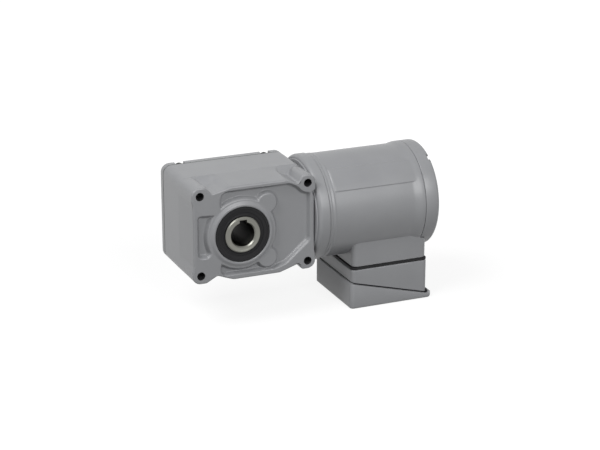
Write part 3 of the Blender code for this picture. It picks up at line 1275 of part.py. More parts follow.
def make_box_base(entry):
    """Terminal box base: closed at the top, open along the slanted joint."""
    lift = COVER_GASKET / 2 + GAP
    ends = [(BOX_LEFT_X - WALL, BASE_TOP_Z), (BOX_RIGHT_X + WALL, BASE_TOP_Z),
            (BOX_RIGHT_X + WALL, joint_z(BOX_RIGHT_X + WALL) + lift),
            (BOX_LEFT_X - WALL, joint_z(BOX_LEFT_X - WALL) + lift)]
    base = slab("terminal_box_base", ends, -2 * BOX_HALF_WIDTH, 2 * BOX_HALF_WIDTH)
    boolean(base, box_walls("base_walls", BOX_BOTTOM_Z, BASE_TOP_Z + OVER), "INTERSECT")
    cut(base, box_room("base_room", BOX_BOTTOM_Z - OVER, BASE_TOP_Z - BOX_WALL))
    for number, (x, y) in enumerate(box_screw_places()):
        top = joint_z(x) + 10.0 * MM
        cut(base, upright(f"base_column_hole_{number}", M4_HOLE, BOX_BOTTOM_Z, top, x, y, SCREW_SIDES))
    cut(base, lead_window("base_lead_window", BASE_TOP_Z - 2 * BOX_WALL, BASE_TOP_Z + OVER))
    for number, (x, y) in enumerate(seat_screw_places()):
        cut(base, upright(f"base_seat_hole_{number}", M5_HOLE, BASE_TOP_Z - 2 * BOX_WALL, BASE_TOP_Z + OVER,
                          x, y,
                          SCREW_SIDES))
    x, y = earth_place()
    cut(base, upright("base_earth_hole", M4_HOLE, BASE_TOP_Z - 2 * BOX_WALL, BASE_TOP_Z - 0.6 * MM, x, y,
                      SCREW_SIDES))
    cut(base, drum("base_entry_hole", ENTRY_RADIUS, BOX_HALF_WIDTH - 2 * BOX_WALL, BOX_HALF_WIDTH + OVER,
                   entry))
    return finish_piece(base, PAINT)


def earth_place():
    """Where the earth screw stands."""
    return (BLOCK_X[0] + BLOCK_X[1]) / 2, BLOCK_HALF_WIDTH + 9.0 * MM


def make_cover_gasket():
    """Gasket of the slanted joint, with a tab that stands up behind the box's right end."""
    half = COVER_GASKET / 2
    right = BOX_RIGHT_X + LIP_LENGTH - 0.6 * MM
    start = BOX_RIGHT_X + GAP
    lip_z = joint_z(BOX_RIGHT_X)
    outline = [(BOX_LEFT_X - WALL, joint_z(BOX_LEFT_X - WALL) + half), (start, joint_z(start) + half),
               (start, lip_z + LIP_TAB_HEIGHT), (right, lip_z + LIP_TAB_HEIGHT), (right, lip_z - half),
               (BOX_RIGHT_X, lip_z - half), (BOX_LEFT_X - WALL, joint_z(BOX_LEFT_X - WALL) - half)]
    gasket = slab("box_cover_gasket", outline, -2 * BOX_HALF_WIDTH, 2 * BOX_HALF_WIDTH)
    low = BOX_BOTTOM_Z
    boolean(gasket, box_walls("cover_gasket_walls", low, SEAT_Z, right=LIP_LENGTH), "INTERSECT")
    cut(gasket, box_room("cover_gasket_room", low, SEAT_Z))
    for number, (x, y) in enumerate(box_screw_places()):
        cut(gasket, upright(f"cover_gasket_hole_{number}", M4_HOLE, low, SEAT_Z, x, y, SCREW_SIDES))
    return finish_piece(gasket, BLACK_RUBBER)


def make_box_cover():
    """Wedge-shaped cover under the slanted joint, with a lip at its right end."""
    drop = COVER_GASKET / 2 + GAP
    far = BOX_RIGHT_X + LIP_LENGTH
    left = BOX_LEFT_X - 2 * COVER_OVERHANG
    outline = [(left, joint_z(left) - drop), (BOX_RIGHT_X, joint_z(BOX_RIGHT_X) - drop),
               (far + WALL, joint_z(BOX_RIGHT_X) - drop), (far + WALL, BOX_BOTTOM_Z), (left, BOX_BOTTOM_Z)]
    cover = slab("terminal_box_cover", outline, -2 * BOX_HALF_WIDTH, 2 * BOX_HALF_WIDTH)
    walls = box_walls("cover_walls", BOX_BOTTOM_Z - OVER, SEAT_Z, COVER_OVERHANG, LIP_LENGTH)
    boolean(cover, walls, "INTERSECT")
    cut(cover, box_room("cover_room", BOX_BOTTOM_Z + BOX_WALL, SEAT_Z))
    for number, (x, y) in enumerate(box_screw_places()):
        cut(cover, upright(f"cover_column_hole_{number}", M4_HOLE, BOX_BOTTOM_Z - OVER, SEAT_Z, x, y,
                           SCREW_SIDES))
        cut(cover, upright(f"cover_head_pocket_{number}", M4_HEAD_RADIUS + GAP, BOX_BOTTOM_Z - OVER,
                           BOX_BOTTOM_Z + M4_HEAD + GAP, x, y, SCREW_SIDES))
    return finish_piece(cover, PAINT)


def hanging_screw(name, x, y, under, radius, head_radius, head, reach):
    """A screw that points up, its head under the height given."""
    profile = [(r, under - along) for r, along in screw_profile(radius, head_radius, head, reach)]
    return turned(name, profile, None, SCREW_SIDES, (x, y))


def make_box_screws():
    """Screws of the box: through its top into the seat, and through the cover into the base."""
    under = BASE_TOP_Z - BOX_WALL - GAP
    reach = SEAT_Z - under + SEAT_SCREW_DEPTH - 1.0 * MM
    for number, (x, y) in enumerate(seat_screw_places(), 1):
        screw = hanging_screw(f"box_base_screw_{number}", x, y, under, M5_RADIUS, M5_HEAD_RADIUS, 4.0 * MM,
                              reach)
        finish_piece(screw, STEEL)
    under = BOX_BOTTOM_Z + M4_HEAD
    for number, (x, y) in enumerate(box_screw_places(), 1):
        reach = joint_z(x) + 9.0 * MM - under
        screw = hanging_screw(f"box_cover_screw_{number}", x, y, under, M4_RADIUS, M4_HEAD_RADIUS, M4_HEAD,
                              reach)
        finish_piece(screw, BLACK_STEEL)


def make_terminal_block():
    """Terminal block with its screw heads under the top of the box, and the earth screw beside it."""
    top = BASE_TOP_Z - BOX_WALL - GAP
    bottom = top - BLOCK_HEIGHT
    body = block("terminal_block", (BLOCK_X[0], -BLOCK_HALF_WIDTH, bottom),
                 (BLOCK_X[1], BLOCK_HALF_WIDTH, top))
    for side in (-1, 1):
        y = side * LEAD_SPACING / 2
        cut(body, block(f"block_slot_{side}", (BLOCK_X[0] - OVER, y - 0.8 * MM, bottom - OVER),
                        (BLOCK_X[1] + OVER, y + 0.8 * MM, bottom + 3.0 * MM)))
    places = [(x, lane * LEAD_SPACING) for x in (BLOCK_X[0] + 5.0 * MM, BLOCK_X[1] - 5.0 * MM)
              for lane in (-1, 0, 1)]
    for number, (x, y) in enumerate(places):
        join(body, upright(f"block_screw_{number}", M4_HEAD_RADIUS, bottom - M4_HEAD, bottom + OVER, x, y,
                           SCREW_SIDES))
    finish_piece(body, PHENOLIC)
    x, y = earth_place()
    reach = BOX_WALL - 0.6 * MM - GAP
    screw = hanging_screw("earth_screw", x, y, BASE_TOP_Z - BOX_WALL - GAP, M4_RADIUS, M4_HEAD_RADIUS,
                          M4_HEAD,
                          reach)
    finish_piece(screw, BRASS)


def make_motor_leads():
    """Three leads from the windings through the window to the terminal block, held by a tie."""
    start_x = CORE_START_X + CORE_LENGTH + WINDING_OVERHANG / 2
    start_z = MOTOR_AXIS_Z - WINDING_RADII[1] - LEAD_RADIUS - GAP
    turn_z = BASE_TOP_Z - BOX_WALL - BLOCK_HEIGHT / 2
    route = [(start_x, start_z), (start_x - 1.0 * MM, start_z - 9.0 * MM), (start_x - 4.0 * MM, SEAT_Z),
             (start_x - 8.0 * MM, BASE_TOP_Z - BOX_WALL), (start_x - 15.0 * MM, turn_z),
             (BLOCK_X[1] + GAP, turn_z)]
    leads = [wire("motor_leads" if lane == 0 else f"lead_{lane}",
                  [(x, lane * LEAD_SPACING, z) for x, z in route], LEAD_RADIUS) for lane in (0, -1, 1)]
    reach = LEAD_SPACING + LEAD_RADIUS + 0.6 * MM
    x, z = route[1]
    half = LEAD_RADIUS + 0.6 * MM
    tie = block("lead_tie", (x - half, -reach, z - 1.2 * MM), (x + half, reach, z + 1.2 * MM))
    join(leads[0], leads[1], leads[2], tie)
    finish_piece(leads[0], LEAD_SLEEVE)


def make_grommet(entry):
    """Blanking grommet in the cable entry."""
    face = BOX_HALF_WIDTH + GAP
    inside = BOX_HALF_WIDTH - BOX_WALL - GAP
    profile = [
        (0.0, face - 1.0 * MM), (ENTRY_RADIUS - 3.5 * MM, face - 1.0 * MM),
        (ENTRY_RADIUS - 2.5 * MM, face + 2.0 * MM), (ENTRY_RADIUS + 1.6 * MM, face + 2.0 * MM),
        (ENTRY_RADIUS + 2.2 * MM, face), (ENTRY_RADIUS - GAP, face), (ENTRY_RADIUS - GAP, inside),
        (ENTRY_RADIUS + 1.0 * MM, inside), (ENTRY_RADIUS, inside - 2.0 * MM), (0.0, inside - 2.0 * MM),
    ]
    return finish_piece(turned("cable_grommet", profile, entry, SMALL), BLACK_RUBBER)


def main():
    """Build every piece in its place."""
    clear_scene()
    output = axis_empty("output_axis", (0.0, 0.0, 0.0), (-FLAT, 0.0, 0.0))
    motor = axis_empty("motor_axis", (0.0, 0.0, MOTOR_AXIS_Z), (0.0, FLAT, 0.0))
    entry = axis_empty("cable_entry_axis", (ENTRY_X, 0.0, BASE_TOP_Z - ENTRY_DROP), (-FLAT, 0.0, 0.0))
    make_gear_case(output, motor)
    make_case_gasket(output)
    make_case_cover(output)
    make_case_screws(output)
    make_hollow_shaft(output)
    make_ring_gear(output)
    make_pinion(motor)
    make_gear_key(output)
    make_gear_spacer(output)
    make_bearing("front_output_bearing", OUTPUT_BEARING, -OUTPUT_BEARING_Y, output)
    make_bearing("rear_output_bearing", OUTPUT_BEARING, OUTPUT_BEARING_Y, output)
    make_oil_seal("front_oil_seal", -1, output)
    make_oil_seal("rear_oil_seal", 1, output)
    make_motor_bracket(motor)
    make_bracket_screws(motor)
    make_bracket_small_parts(motor)
    make_bearing("front_motor_bearing", MOTOR_FRONT_BEARING, front_bearing_middle(), motor)
    make_bearing("rear_motor_bearing", MOTOR_REAR_BEARING, rear_bearing_middle(), motor)
    make_motor_frame(motor)
    make_rear_cover(motor)
    make_rear_screws(motor)
    make_stator(motor)
    make_rotor(motor)
    make_motor_shaft(motor)
    make_wave_washer(motor)
    make_box_gasket()
    make_box_base(entry)
    make_cover_gasket()
    make_box_cover()
    make_box_screws()
    make_terminal_block()
    make_motor_leads()
    make_grommet(entry)
    bpy.context.view_layer.update()


main()
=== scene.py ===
# %% [markdown]
# # A right-angle geared motor, dressed piece by piece
# The object is a drive for conveyors and small machines. A flat die-cast gear case holds a hollow output
# shaft, a round motor is bolted to its right end, and a wedge-shaped terminal box hangs under the motor.
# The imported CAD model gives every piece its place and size. This lesson keeps the pieces that are shut
# inside, gives each of them its finish, and makes the pieces that are seen again as finer surfaces.
# %% Load the frame and keep its box
import math

import bmesh
import bpy
import numpy as np
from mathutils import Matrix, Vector


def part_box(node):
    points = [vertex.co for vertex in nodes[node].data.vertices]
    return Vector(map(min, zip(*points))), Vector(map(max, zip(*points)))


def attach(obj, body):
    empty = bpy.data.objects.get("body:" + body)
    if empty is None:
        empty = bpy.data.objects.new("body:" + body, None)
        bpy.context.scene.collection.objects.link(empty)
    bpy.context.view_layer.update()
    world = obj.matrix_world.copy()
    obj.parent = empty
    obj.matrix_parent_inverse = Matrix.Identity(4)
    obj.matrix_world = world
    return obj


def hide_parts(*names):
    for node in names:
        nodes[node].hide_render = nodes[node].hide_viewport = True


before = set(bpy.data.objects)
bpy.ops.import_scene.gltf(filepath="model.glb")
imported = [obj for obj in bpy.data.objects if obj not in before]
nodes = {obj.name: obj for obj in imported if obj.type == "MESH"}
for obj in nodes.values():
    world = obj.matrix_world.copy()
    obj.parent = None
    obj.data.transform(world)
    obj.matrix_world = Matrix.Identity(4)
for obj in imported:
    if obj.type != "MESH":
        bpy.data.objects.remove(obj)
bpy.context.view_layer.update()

# %% [markdown]
# ## Sizes
# Lengths in this lesson are in millimetres and turn into metres when a mesh is made. The places that the
# new surfaces share with the CAD pieces are read from the frame's own boxes, so the two can't drift
# apart. The few sizes that a box doesn't tell, such as where a screw sits, are written down here once.
# %% Sizes shared by the pieces
MM = 0.001


def span(node, axis):
    """Lowest and highest coordinate of a CAD piece along one axis, in millimetres."""
    low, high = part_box(node)
    return low[axis] / MM, high[axis] / MM


case_left, case_right = span("gear_case", 0)
case_bottom, case_top = span("gear_case", 2)
case_back = span("gear_case", 1)[1]
face_y = 46.5                                   # mounting faces, both sides of mid-depth
cover_plate = 38.4                              # inner face of the case cover
motor_z = 3.0                                   # height of the motor's axis above the output shaft
hole_x = (-44.7, 71.7)
hole_z = (-39.0, 45.0)
hole_radius, ear_radius = 4.25, 8.8
ears = [(x, z) for x in hole_x for z in hole_z]
ear_webs = (18.0, 13.0, 10.3, 10.3)             # how far from each ear's centre its web reaches
case_screws = [(x, z) for x in (-34.0, 60.5) for z in (case_top - 6.0, case_bottom + 6.0)]
m4_hole, m5_hole, m6_hole = 2.2, 2.7, 3.2       # radii of the holes that screws pass through
cover_pocket, pocket_floor = 5.2, 40.6          # room round a case cover screw's head, and depth under it
frame_start, frame_end, frame_wall = 93.8, 201.8, 4.8
box_wall = 3.2
rear_circle = 50.0                              # radius on which the rear cover's screws sit
box_x0, box_x1 = span("terminal_box_base", 0)
box_half = -span("terminal_box_base", 1)[0]
box_screws = [(x, y) for x in (box_x0 + 6.1, box_x1 - 6.1) for y in (6.1 - box_half, box_half - 6.1)]
seat_screws = [(134.2, 0.0), (195.0, 0.0)]
motor_radius = 54.8
end_radius = (span("motor_rear_cover", 1)[1] - span("motor_rear_cover", 1)[0]) / 2
motor_end = span("motor_rear_cover", 0)[1]
bracket_radius = (span("motor_bracket", 1)[1] - span("motor_bracket", 1)[0]) / 2
fine = 2                    # how many times finer the large castings are when it counts
print(f"case x {case_left:.1f}..{case_right:.1f}, z {case_bottom:.1f}..{case_top:.1f}")
print(f"motor ends at {motor_end:.1f}, bracket radius {bracket_radius:.1f}, rear radius {end_radius:.1f}")

# %% [markdown]
# ## Finishes
# The real drive is sprayed with light grey enamel over aluminium castings. Enamel on a casting isn't
# glass: it has a fine orange-peel skin, and its gloss changes a little from place to place. An image
# texture could carry that, but noise on Object coordinates needs no picture and keeps its size on every
# piece. The effect is used by several finishes, so it is one node group with named sockets, and each
# material sets its own values.
# %% Node groups for repeated effects
def group_sockets(title, inputs, outputs):
    """A new node group with float inputs {name: default}, named outputs, and its two end nodes."""
    tree = bpy.data.node_groups.new(title, "ShaderNodeTree")
    for name, value in inputs.items():
        tree.interface.new_socket(name, in_out="INPUT", socket_type="NodeSocketFloat").default_value = value
    for name, kind in outputs.items():
        tree.interface.new_socket(name, in_out="OUTPUT", socket_type=kind)
    return tree, tree.nodes.new("NodeGroupInput"), tree.nodes.new("NodeGroupOutput")


def math_node(tree, operation, first, second=None):
    """A Math node whose inputs are sockets or plain numbers; gives its output socket."""
    node = tree.nodes.new("ShaderNodeMath")
    node.operation = operation
    for place, value in enumerate((first, second)):
        if isinstance(value, bpy.types.NodeSocket):
            tree.links.new(value, node.inputs[place])
        elif value is not None:
            node.inputs[place].default_value = value
    return node.outputs[0]


def object_axes(tree):
    """The sockets X, Y and Z of the place on the object."""
    place = tree.nodes.new("ShaderNodeTexCoord")
    parts = tree.nodes.new("ShaderNodeSeparateXYZ")
    tree.links.new(place.outputs["Object"], parts.inputs[0])
    return parts.outputs


def skin_group():
    """Two sizes of noise: the small one is the skin's height, the large one shifts gloss and tone."""
    tree, ins, outs = group_sockets("sprayed_skin",
                                    {"Grain": 900.0, "Patch": 40.0, "Gloss": 0.4, "Swing": 0.05},
                                    {"Height": "NodeSocketFloat", "Roughness": "NodeSocketFloat",
                                     "Tone": "NodeSocketFloat"})
    place = tree.nodes.new("ShaderNodeTexCoord")
    small, large = (tree.nodes.new("ShaderNodeTexNoise") for _ in range(2))
    small.inputs["Detail"].default_value = 2.0
    large.inputs["Detail"].default_value = 3.0
    tree.links.new(place.outputs["Object"], small.inputs["Vector"])
    tree.links.new(place.outputs["Object"], large.inputs["Vector"])
    tree.links.new(ins.outputs["Grain"], small.inputs["Scale"])
    tree.links.new(ins.outputs["Patch"], large.inputs["Scale"])
    shifted = math_node(tree, "SUBTRACT", large.outputs["Fac"], 0.5)
    swing = math_node(tree, "MULTIPLY", shifted, ins.outputs["Swing"])
    tree.links.new(math_node(tree, "ADD", swing, ins.outputs["Gloss"]), outs.inputs["Roughness"])
    tree.links.new(small.outputs["Fac"], outs.inputs["Height"])
    tree.links.new(large.outputs["Fac"], outs.inputs["Tone"])
    return tree


def lathe_group():
    """Fine rings round an axis: noise read at the distance from the axis, the same all the way round."""
    tree, ins, outs = group_sockets("lathe_rings", {"Rings": 1500.0, "Gloss": 0.3, "Swing": 0.1},
                                    {"Height": "NodeSocketFloat", "Roughness": "NodeSocketFloat"})
    axes = object_axes(tree)
    flat = tree.nodes.new("ShaderNodeCombineXYZ")
    tree.links.new(axes["X"], flat.inputs["X"])
    tree.links.new(axes["Z"], flat.inputs["Y"])
    length = tree.nodes.new("ShaderNodeVectorMath")
    length.operation = "LENGTH"
    tree.links.new(flat.outputs[0], length.inputs[0])
    ring = tree.nodes.new("ShaderNodeCombineXYZ")
    tree.links.new(length.outputs["Value"], ring.inputs["X"])
    tree.links.new(math_node(tree, "MULTIPLY", axes["Y"], 0.6), ring.inputs["Y"])
    noise = tree.nodes.new("ShaderNodeTexNoise")
    noise.inputs["Detail"].default_value = 1.0
    tree.links.new(ring.outputs[0], noise.inputs["Vector"])
    tree.links.new(ins.outputs["Rings"], noise.inputs["Scale"])
    shifted = math_node(tree, "SUBTRACT", noise.outputs["Fac"], 0.5)
    swing = math_node(tree, "MULTIPLY", shifted, ins.outputs["Swing"])
    tree.links.new(math_node(tree, "ADD", swing, ins.outputs["Gloss"]), outs.inputs["Roughness"])
    tree.links.new(noise.outputs["Fac"], outs.inputs["Height"])
    return tree


def hole_shade_group():
    """Mask for painted shade inside four through holes on a rectangle: 1 in them, 0 elsewhere; both
    coordinates fold onto one corner.
    """
    values = {"Middle X": 0.0, "Middle Z": 0.0, "Half X": 0.06, "Half Z": 0.04, "Radius": 0.004}
    tree, ins, outs = group_sockets("bolt_hole_shade_mask", values, {"Mask": "NodeSocketFloat"})
    axes = object_axes(tree)
    squares = []
    for axis in "XZ":
        from_middle = math_node(tree, "SUBTRACT", axes[axis], ins.outputs[f"Middle {axis}"])
        folded = math_node(tree, "SUBTRACT", math_node(tree, "ABSOLUTE", from_middle),
                           ins.outputs[f"Half {axis}"])
        squares.append(math_node(tree, "MULTIPLY", folded, folded))
    distance = math_node(tree, "SQRT", math_node(tree, "ADD", *squares))
    tree.links.new(math_node(tree, "LESS_THAN", distance, ins.outputs["Radius"]), outs.inputs["Mask"])
    return tree


def bore_shade_group():
    """Mask for painted shade in a bore along Y: 0 at its mouth and 1 deep in it, by the depth below the end
    face, inside the radius.
    """
    tree, ins, outs = group_sockets("bore_shade_mask", {"Radius": 0.016, "Half Length": 0.05, "Fade": 0.01},
                                    {"Mask": "NodeSocketFloat"})
    axes = object_axes(tree)
    squares = [math_node(tree, "MULTIPLY", axes[axis], axes[axis]) for axis in "XZ"]
    inside = math_node(tree, "LESS_THAN", math_node(tree, "SQRT", math_node(tree, "ADD", *squares)),
                       ins.outputs["Radius"])
    depth = math_node(tree, "SUBTRACT", ins.outputs["Half Length"], math_node(tree, "ABSOLUTE", axes["Y"]))
    fade = math_node(tree, "DIVIDE", depth, ins.outputs["Fade"])
    limited = math_node(tree, "MINIMUM", math_node(tree, "MAXIMUM", fade, 0.0), 1.0)
    tree.links.new(math_node(tree, "MULTIPLY", inside, limited), outs.inputs["Mask"])
    return tree


skin, lathe, holes, bore_shade = skin_group(), lathe_group(), hole_shade_group(), bore_shade_group()
print("groups:", skin.name, lathe.name, holes.name, bore_shade.name)

# %% [markdown]
# ## One function per kind of finish
# A sprayed or moulded surface takes its skin from the first group. Its colour runs between two close
# tones, so that a large plain casting doesn't look like a flat fill. Turned and ground metal takes the
# second group. The bump is shallow: a fraction of a tenth of a millimetre, as on the real surfaces.
# %% Materials
def new_material(title, colour, metallic, roughness):
    """A material with only its Principled shader set; gives the material, its tree and the shader."""
    material = bpy.data.materials.new(title)
    material.use_nodes = True
    tree = material.node_tree
    shader = tree.nodes["Principled BSDF"]
    shader.inputs["Base Color"].default_value = (*colour, 1.0)
    shader.inputs["Metallic"].default_value = metallic
    shader.inputs["Roughness"].default_value = roughness
    return material, tree, shader


def use_group(tree, group, values):
    """Place a node group in a material with its own values."""
    node = tree.nodes.new("ShaderNodeGroup")
    node.node_tree = group
    for name, value in values.items():
        node.inputs[name].default_value = value
    return node


def bump_from(tree, height, shader, distance):
    """Feed a height to the shader's normal, its relief given in metres."""
    bump = tree.nodes.new("ShaderNodeBump")
    bump.inputs["Strength"].default_value = 1.0
    bump.inputs["Distance"].default_value = distance
    tree.links.new(height, bump.inputs["Height"])
    tree.links.new(bump.outputs["Normal"], shader.inputs["Normal"])


def sprayed(title, light, dark, gloss, metallic=0.0, grain=900.0, patch=40.0, relief=0.00003, swing=0.06):
    """A skin finish whose colour runs from the dark tone to the light tone."""
    material, tree, shader = new_material(title, light, metallic, gloss)
    node = use_group(tree, skin, {"Grain": grain, "Patch": patch, "Gloss": gloss, "Swing": swing})
    ramp = tree.nodes.new("ShaderNodeValToRGB")
    ramp.color_ramp.elements[0].position, ramp.color_ramp.elements[1].position = 0.3, 0.7
    ramp.color_ramp.elements[0].color = (*dark, 1.0)
    ramp.color_ramp.elements[1].color = (*light, 1.0)
    tree.links.new(node.outputs["Tone"], ramp.inputs["Fac"])
    tree.links.new(ramp.outputs["Color"], shader.inputs["Base Color"])
    tree.links.new(node.outputs["Roughness"], shader.inputs["Roughness"])
    bump_from(tree, node.outputs["Height"], shader, relief)
    return material


def machined(title, colour, gloss, rings=1500.0, relief=0.00001, swing=0.12):
    """Turned or ground metal with fine rings."""
    material, tree, shader = new_material(title, colour, 1.0, gloss)
    node = use_group(tree, lathe, {"Rings": rings, "Gloss": gloss, "Swing": swing})
    tree.links.new(node.outputs["Roughness"], shader.inputs["Roughness"])
    bump_from(tree, node.outputs["Height"], shader, relief)
    return material


def lay_painted_shade(material, group, values, colour):
    """Lay painted shade, a second darker colour, over a finish where a group's mask says so."""
    tree = material.node_tree
    base = tree.nodes["Principled BSDF"].inputs["Base Color"]
    mask = use_group(tree, group, values)
    mix = tree.nodes.new("ShaderNodeMix")
    mix.data_type = "RGBA"
    first, second = (socket for socket in mix.inputs if socket.type == "RGBA")
    first.default_value, second.default_value = base.default_value, (*colour, 1.0)
    if base.is_linked:
        tree.links.new(base.links[0].from_socket, first)
    tree.links.new(mask.outputs["Mask"], mix.inputs["Factor"])
    tree.links.new(next(socket for socket in mix.outputs if socket.type == "RGBA"), base)
    return material


enamel = (0.262, 0.266, 0.276), (0.246, 0.250, 0.260), 0.35        # light tone, dark tone and gloss
grey_enamel = sprayed("grey_enamel", *enamel)
# Painted shade: a near-black colour laid over the enamel inside the mounting holes.
case_enamel_hole_shade = lay_painted_shade(sprayed("case_enamel_hole_shade", *enamel), holes,
                     {"Middle X": sum(hole_x) / 2 * MM, "Middle Z": sum(hole_z) / 2 * MM,
                      "Half X": (hole_x[1] - hole_x[0]) / 2 * MM, "Half Z": (hole_z[1] - hole_z[0]) / 2 * MM,
                      "Radius": (hole_radius + 0.12) * MM}, (0.04, 0.04, 0.042))
seal_rubber = sprayed("seal_rubber", (0.012, 0.012, 0.013), (0.008, 0.008, 0.009), 0.65, grain=500.0)
seal_rubber.node_tree.nodes["Principled BSDF"].inputs["Specular IOR Level"].default_value = 0.25
gasket_fibre = sprayed("gasket_fibre", (0.11, 0.12, 0.11), (0.07, 0.08, 0.07), 0.85,
                       grain=2500.0, patch=600.0)
cast_aluminium = sprayed("cast_aluminium", (0.62, 0.63, 0.64), (0.52, 0.53, 0.54), 0.45, metallic=1.0)
block_moulding = sprayed("block_moulding", (0.032, 0.027, 0.024), (0.024, 0.020, 0.018), 0.5)
lead_sleeve = sprayed("lead_sleeve", (0.36, 0.03, 0.03), (0.28, 0.02, 0.02), 0.5, grain=400.0)
blackened_steel = machined("blackened_steel", (0.022, 0.022, 0.024), 0.42)
ground_steel = machined("ground_steel", (0.46, 0.46, 0.44), 0.32)
# Painted shade: the bore's steel fades to near-black with the depth from each end.
shaft_steel_bore_shade = lay_painted_shade(machined("shaft_steel_bore_shade", (0.20, 0.20, 0.18), 0.33), bore_shade,
                     {"Radius": 16.0 * MM, "Half Length": 49.0 * MM, "Fade": 13.0 * MM}, (0.02, 0.02, 0.019))
hardened_steel = machined("hardened_steel", (0.30, 0.30, 0.31), 0.36)
turned_brass = machined("turned_brass", (0.70, 0.50, 0.20), 0.3)
print("materials:", len(bpy.data.materials))

# %% [markdown]
# ## Stacked sheets and wound wire
# The motor's core is a pack of thin steel sheets, and its windings are turns of varnished copper wire.
# Both are stripes: bands along the motor for the sheets, and tight bands across it for the wire. A Wave
# texture gives even bands, and a little distortion makes the wire look wound by a machine and not drawn
# by a ruler.
# %% Striped finishes
def striped(title, light, dark, gloss, scale, direction, distortion):
    """Metal with even bands along one axis, dark in the gaps between them."""
    material, tree, shader = new_material(title, light, 1.0, gloss)
    place = tree.nodes.new("ShaderNodeTexCoord")
    wave = tree.nodes.new("ShaderNodeTexWave")
    wave.bands_direction = direction
    wave.inputs["Scale"].default_value = scale
    wave.inputs["Distortion"].default_value = distortion
    tree.links.new(place.outputs["Object"], wave.inputs["Vector"])
    ramp = tree.nodes.new("ShaderNodeValToRGB")
    ramp.color_ramp.elements[0].color = (*dark, 1.0)
    ramp.color_ramp.elements[1].position = 0.35
    ramp.color_ramp.elements[1].color = (*light, 1.0)
    tree.links.new(wave.outputs["Fac"], ramp.inputs["Fac"])
    tree.links.new(ramp.outputs["Color"], shader.inputs["Base Color"])
    bump_from(tree, wave.outputs["Fac"], shader, 0.00005)
    return material


sheet_stack = striped("sheet_stack", (0.22, 0.22, 0.23), (0.08, 0.08, 0.08), 0.5, 300.0, "X", 0.0)
wound_copper = striped("wound_copper", (0.72, 0.32, 0.14), (0.25, 0.09, 0.04), 0.35, 150.0, "DIAGONAL", 2.0)

# %% [markdown]
# ## Finishes for the pieces that stay as CAD
# The bearings, gears, core, leads and the rest are inside the castings. Their CAD shape is right, so
# they stay, and only take their finish.
# %% Dress the CAD pieces
finish_of = {
    grey_enamel: ("gear_case", "gear_case_cover", "motor_bracket", "motor_frame", "motor_rear_cover",
                  "terminal_box_base", "terminal_box_cover"),
    seal_rubber: ("front_oil_seal", "rear_oil_seal", "motor_oil_seal", "bracket_o_ring",
                  "terminal_box_gasket", "box_cover_gasket", "cable_grommet"),
    blackened_steel: ("case_cover_screw", "bracket_screw", "rear_cover_screw", "box_cover_screw",
                      "bearing_retaining_ring"),
    hardened_steel: ("hypoid_gear", "hypoid_pinion"),
    sheet_stack: ("stator_core", "rotor_core"),
    wound_copper: ("stator_windings",),
    cast_aluminium: ("rotor_cage",),
    turned_brass: ("earth_screw",),
    block_moulding: ("terminal_block",),
    gasket_fibre: ("case_gasket",),
    lead_sleeve: ("motor_leads",),
}
for name, item in nodes.items():
    item.data.materials.clear()
    fit = [m for m, starts in finish_of.items() if name in starts or name.rpartition("_")[0] in starts]
    item.data.materials.append(fit[0] if fit else ground_steel)
print("dressed", len(nodes), "CAD pieces")

# %% [markdown]
# ## From a grid of points to a mesh
# Nearly every new piece is a closed surface of two parameters: one goes round the piece, the other runs
# along a profile that ends where it began, so the surface is a ring with no open edge. The faces are
# worked out as whole arrays. If the surface comes out inside out, its enclosed volume is negative, and
# all faces are turned round.
# %% Mesh helpers
def enclosed_volume(points, quads):
    """Sum over the faces of corner x (corner cross corner) / 6, which is the volume for outward faces."""
    a, b, c, d = (points[quads[:, k]] for k in range(4))
    return (np.einsum("ij,ij->i", a, np.cross(b, c)) + np.einsum("ij,ij->i", a, np.cross(c, d))).sum() / 6


def ring_surface(name, grid):
    """Mesh object of a grid (round, along, 3) in millimetres that closes on itself both ways."""
    around, along = grid.shape[:2]
    i, j = np.meshgrid(np.arange(around), np.arange(along), indexing="ij")
    following, after = (i + 1) % around, (j + 1) % along
    corners = [i * along + j, following * along + j, following * along + after, i * along + after]
    quads = np.stack(corners, -1).reshape(-1, 4)
    points = grid.reshape(-1, 3) * MM
    if enclosed_volume(points, quads) < 0:
        quads = quads[:, ::-1]
    mesh = bpy.data.meshes.new(name)
    mesh.vertices.add(len(points))
    mesh.vertices.foreach_set("co", points.ravel())
    mesh.loops.add(quads.size)
    mesh.loops.foreach_set("vertex_index", quads.ravel())
    mesh.polygons.add(len(quads))
    mesh.polygons.foreach_set("loop_start", np.arange(len(quads)) * 4)
    mesh.update(calc_edges=True)
    item = bpy.data.objects.new(name, mesh)
    bpy.context.scene.collection.objects.link(item)
    return item


def merge_close(item, distance=1e-6):
    """Merge points that lie on each other, as at a pole, and drop faces without area."""
    bm = bmesh.new()
    bm.from_mesh(item.data)
    bmesh.ops.remove_doubles(bm, verts=bm.verts, dist=distance)
    bmesh.ops.dissolve_degenerate(bm, edges=bm.edges, dist=distance)
    bm.to_mesh(item.data)
    bm.free()
    return item


def combine(item, tools, operation="DIFFERENCE"):
    """Cut the closed tools out of a piece, or join them to it, and keep the result as its mesh."""
    for tool in tools:
        modifier = item.modifiers.new(tool.name, "BOOLEAN")
        modifier.operation, modifier.object, modifier.solver = operation, tool, "MANIFOLD"
    evaluated = item.evaluated_get(bpy.context.evaluated_depsgraph_get())
    made = bpy.data.meshes.new_from_object(evaluated)
    if len(made.polygons) < 4:
        raise RuntimeError(f"{item.name}: the boolean came out empty")
    item.modifiers.clear()
    item.data = made
    for tool in tools:
        bpy.data.objects.remove(tool)
    return item


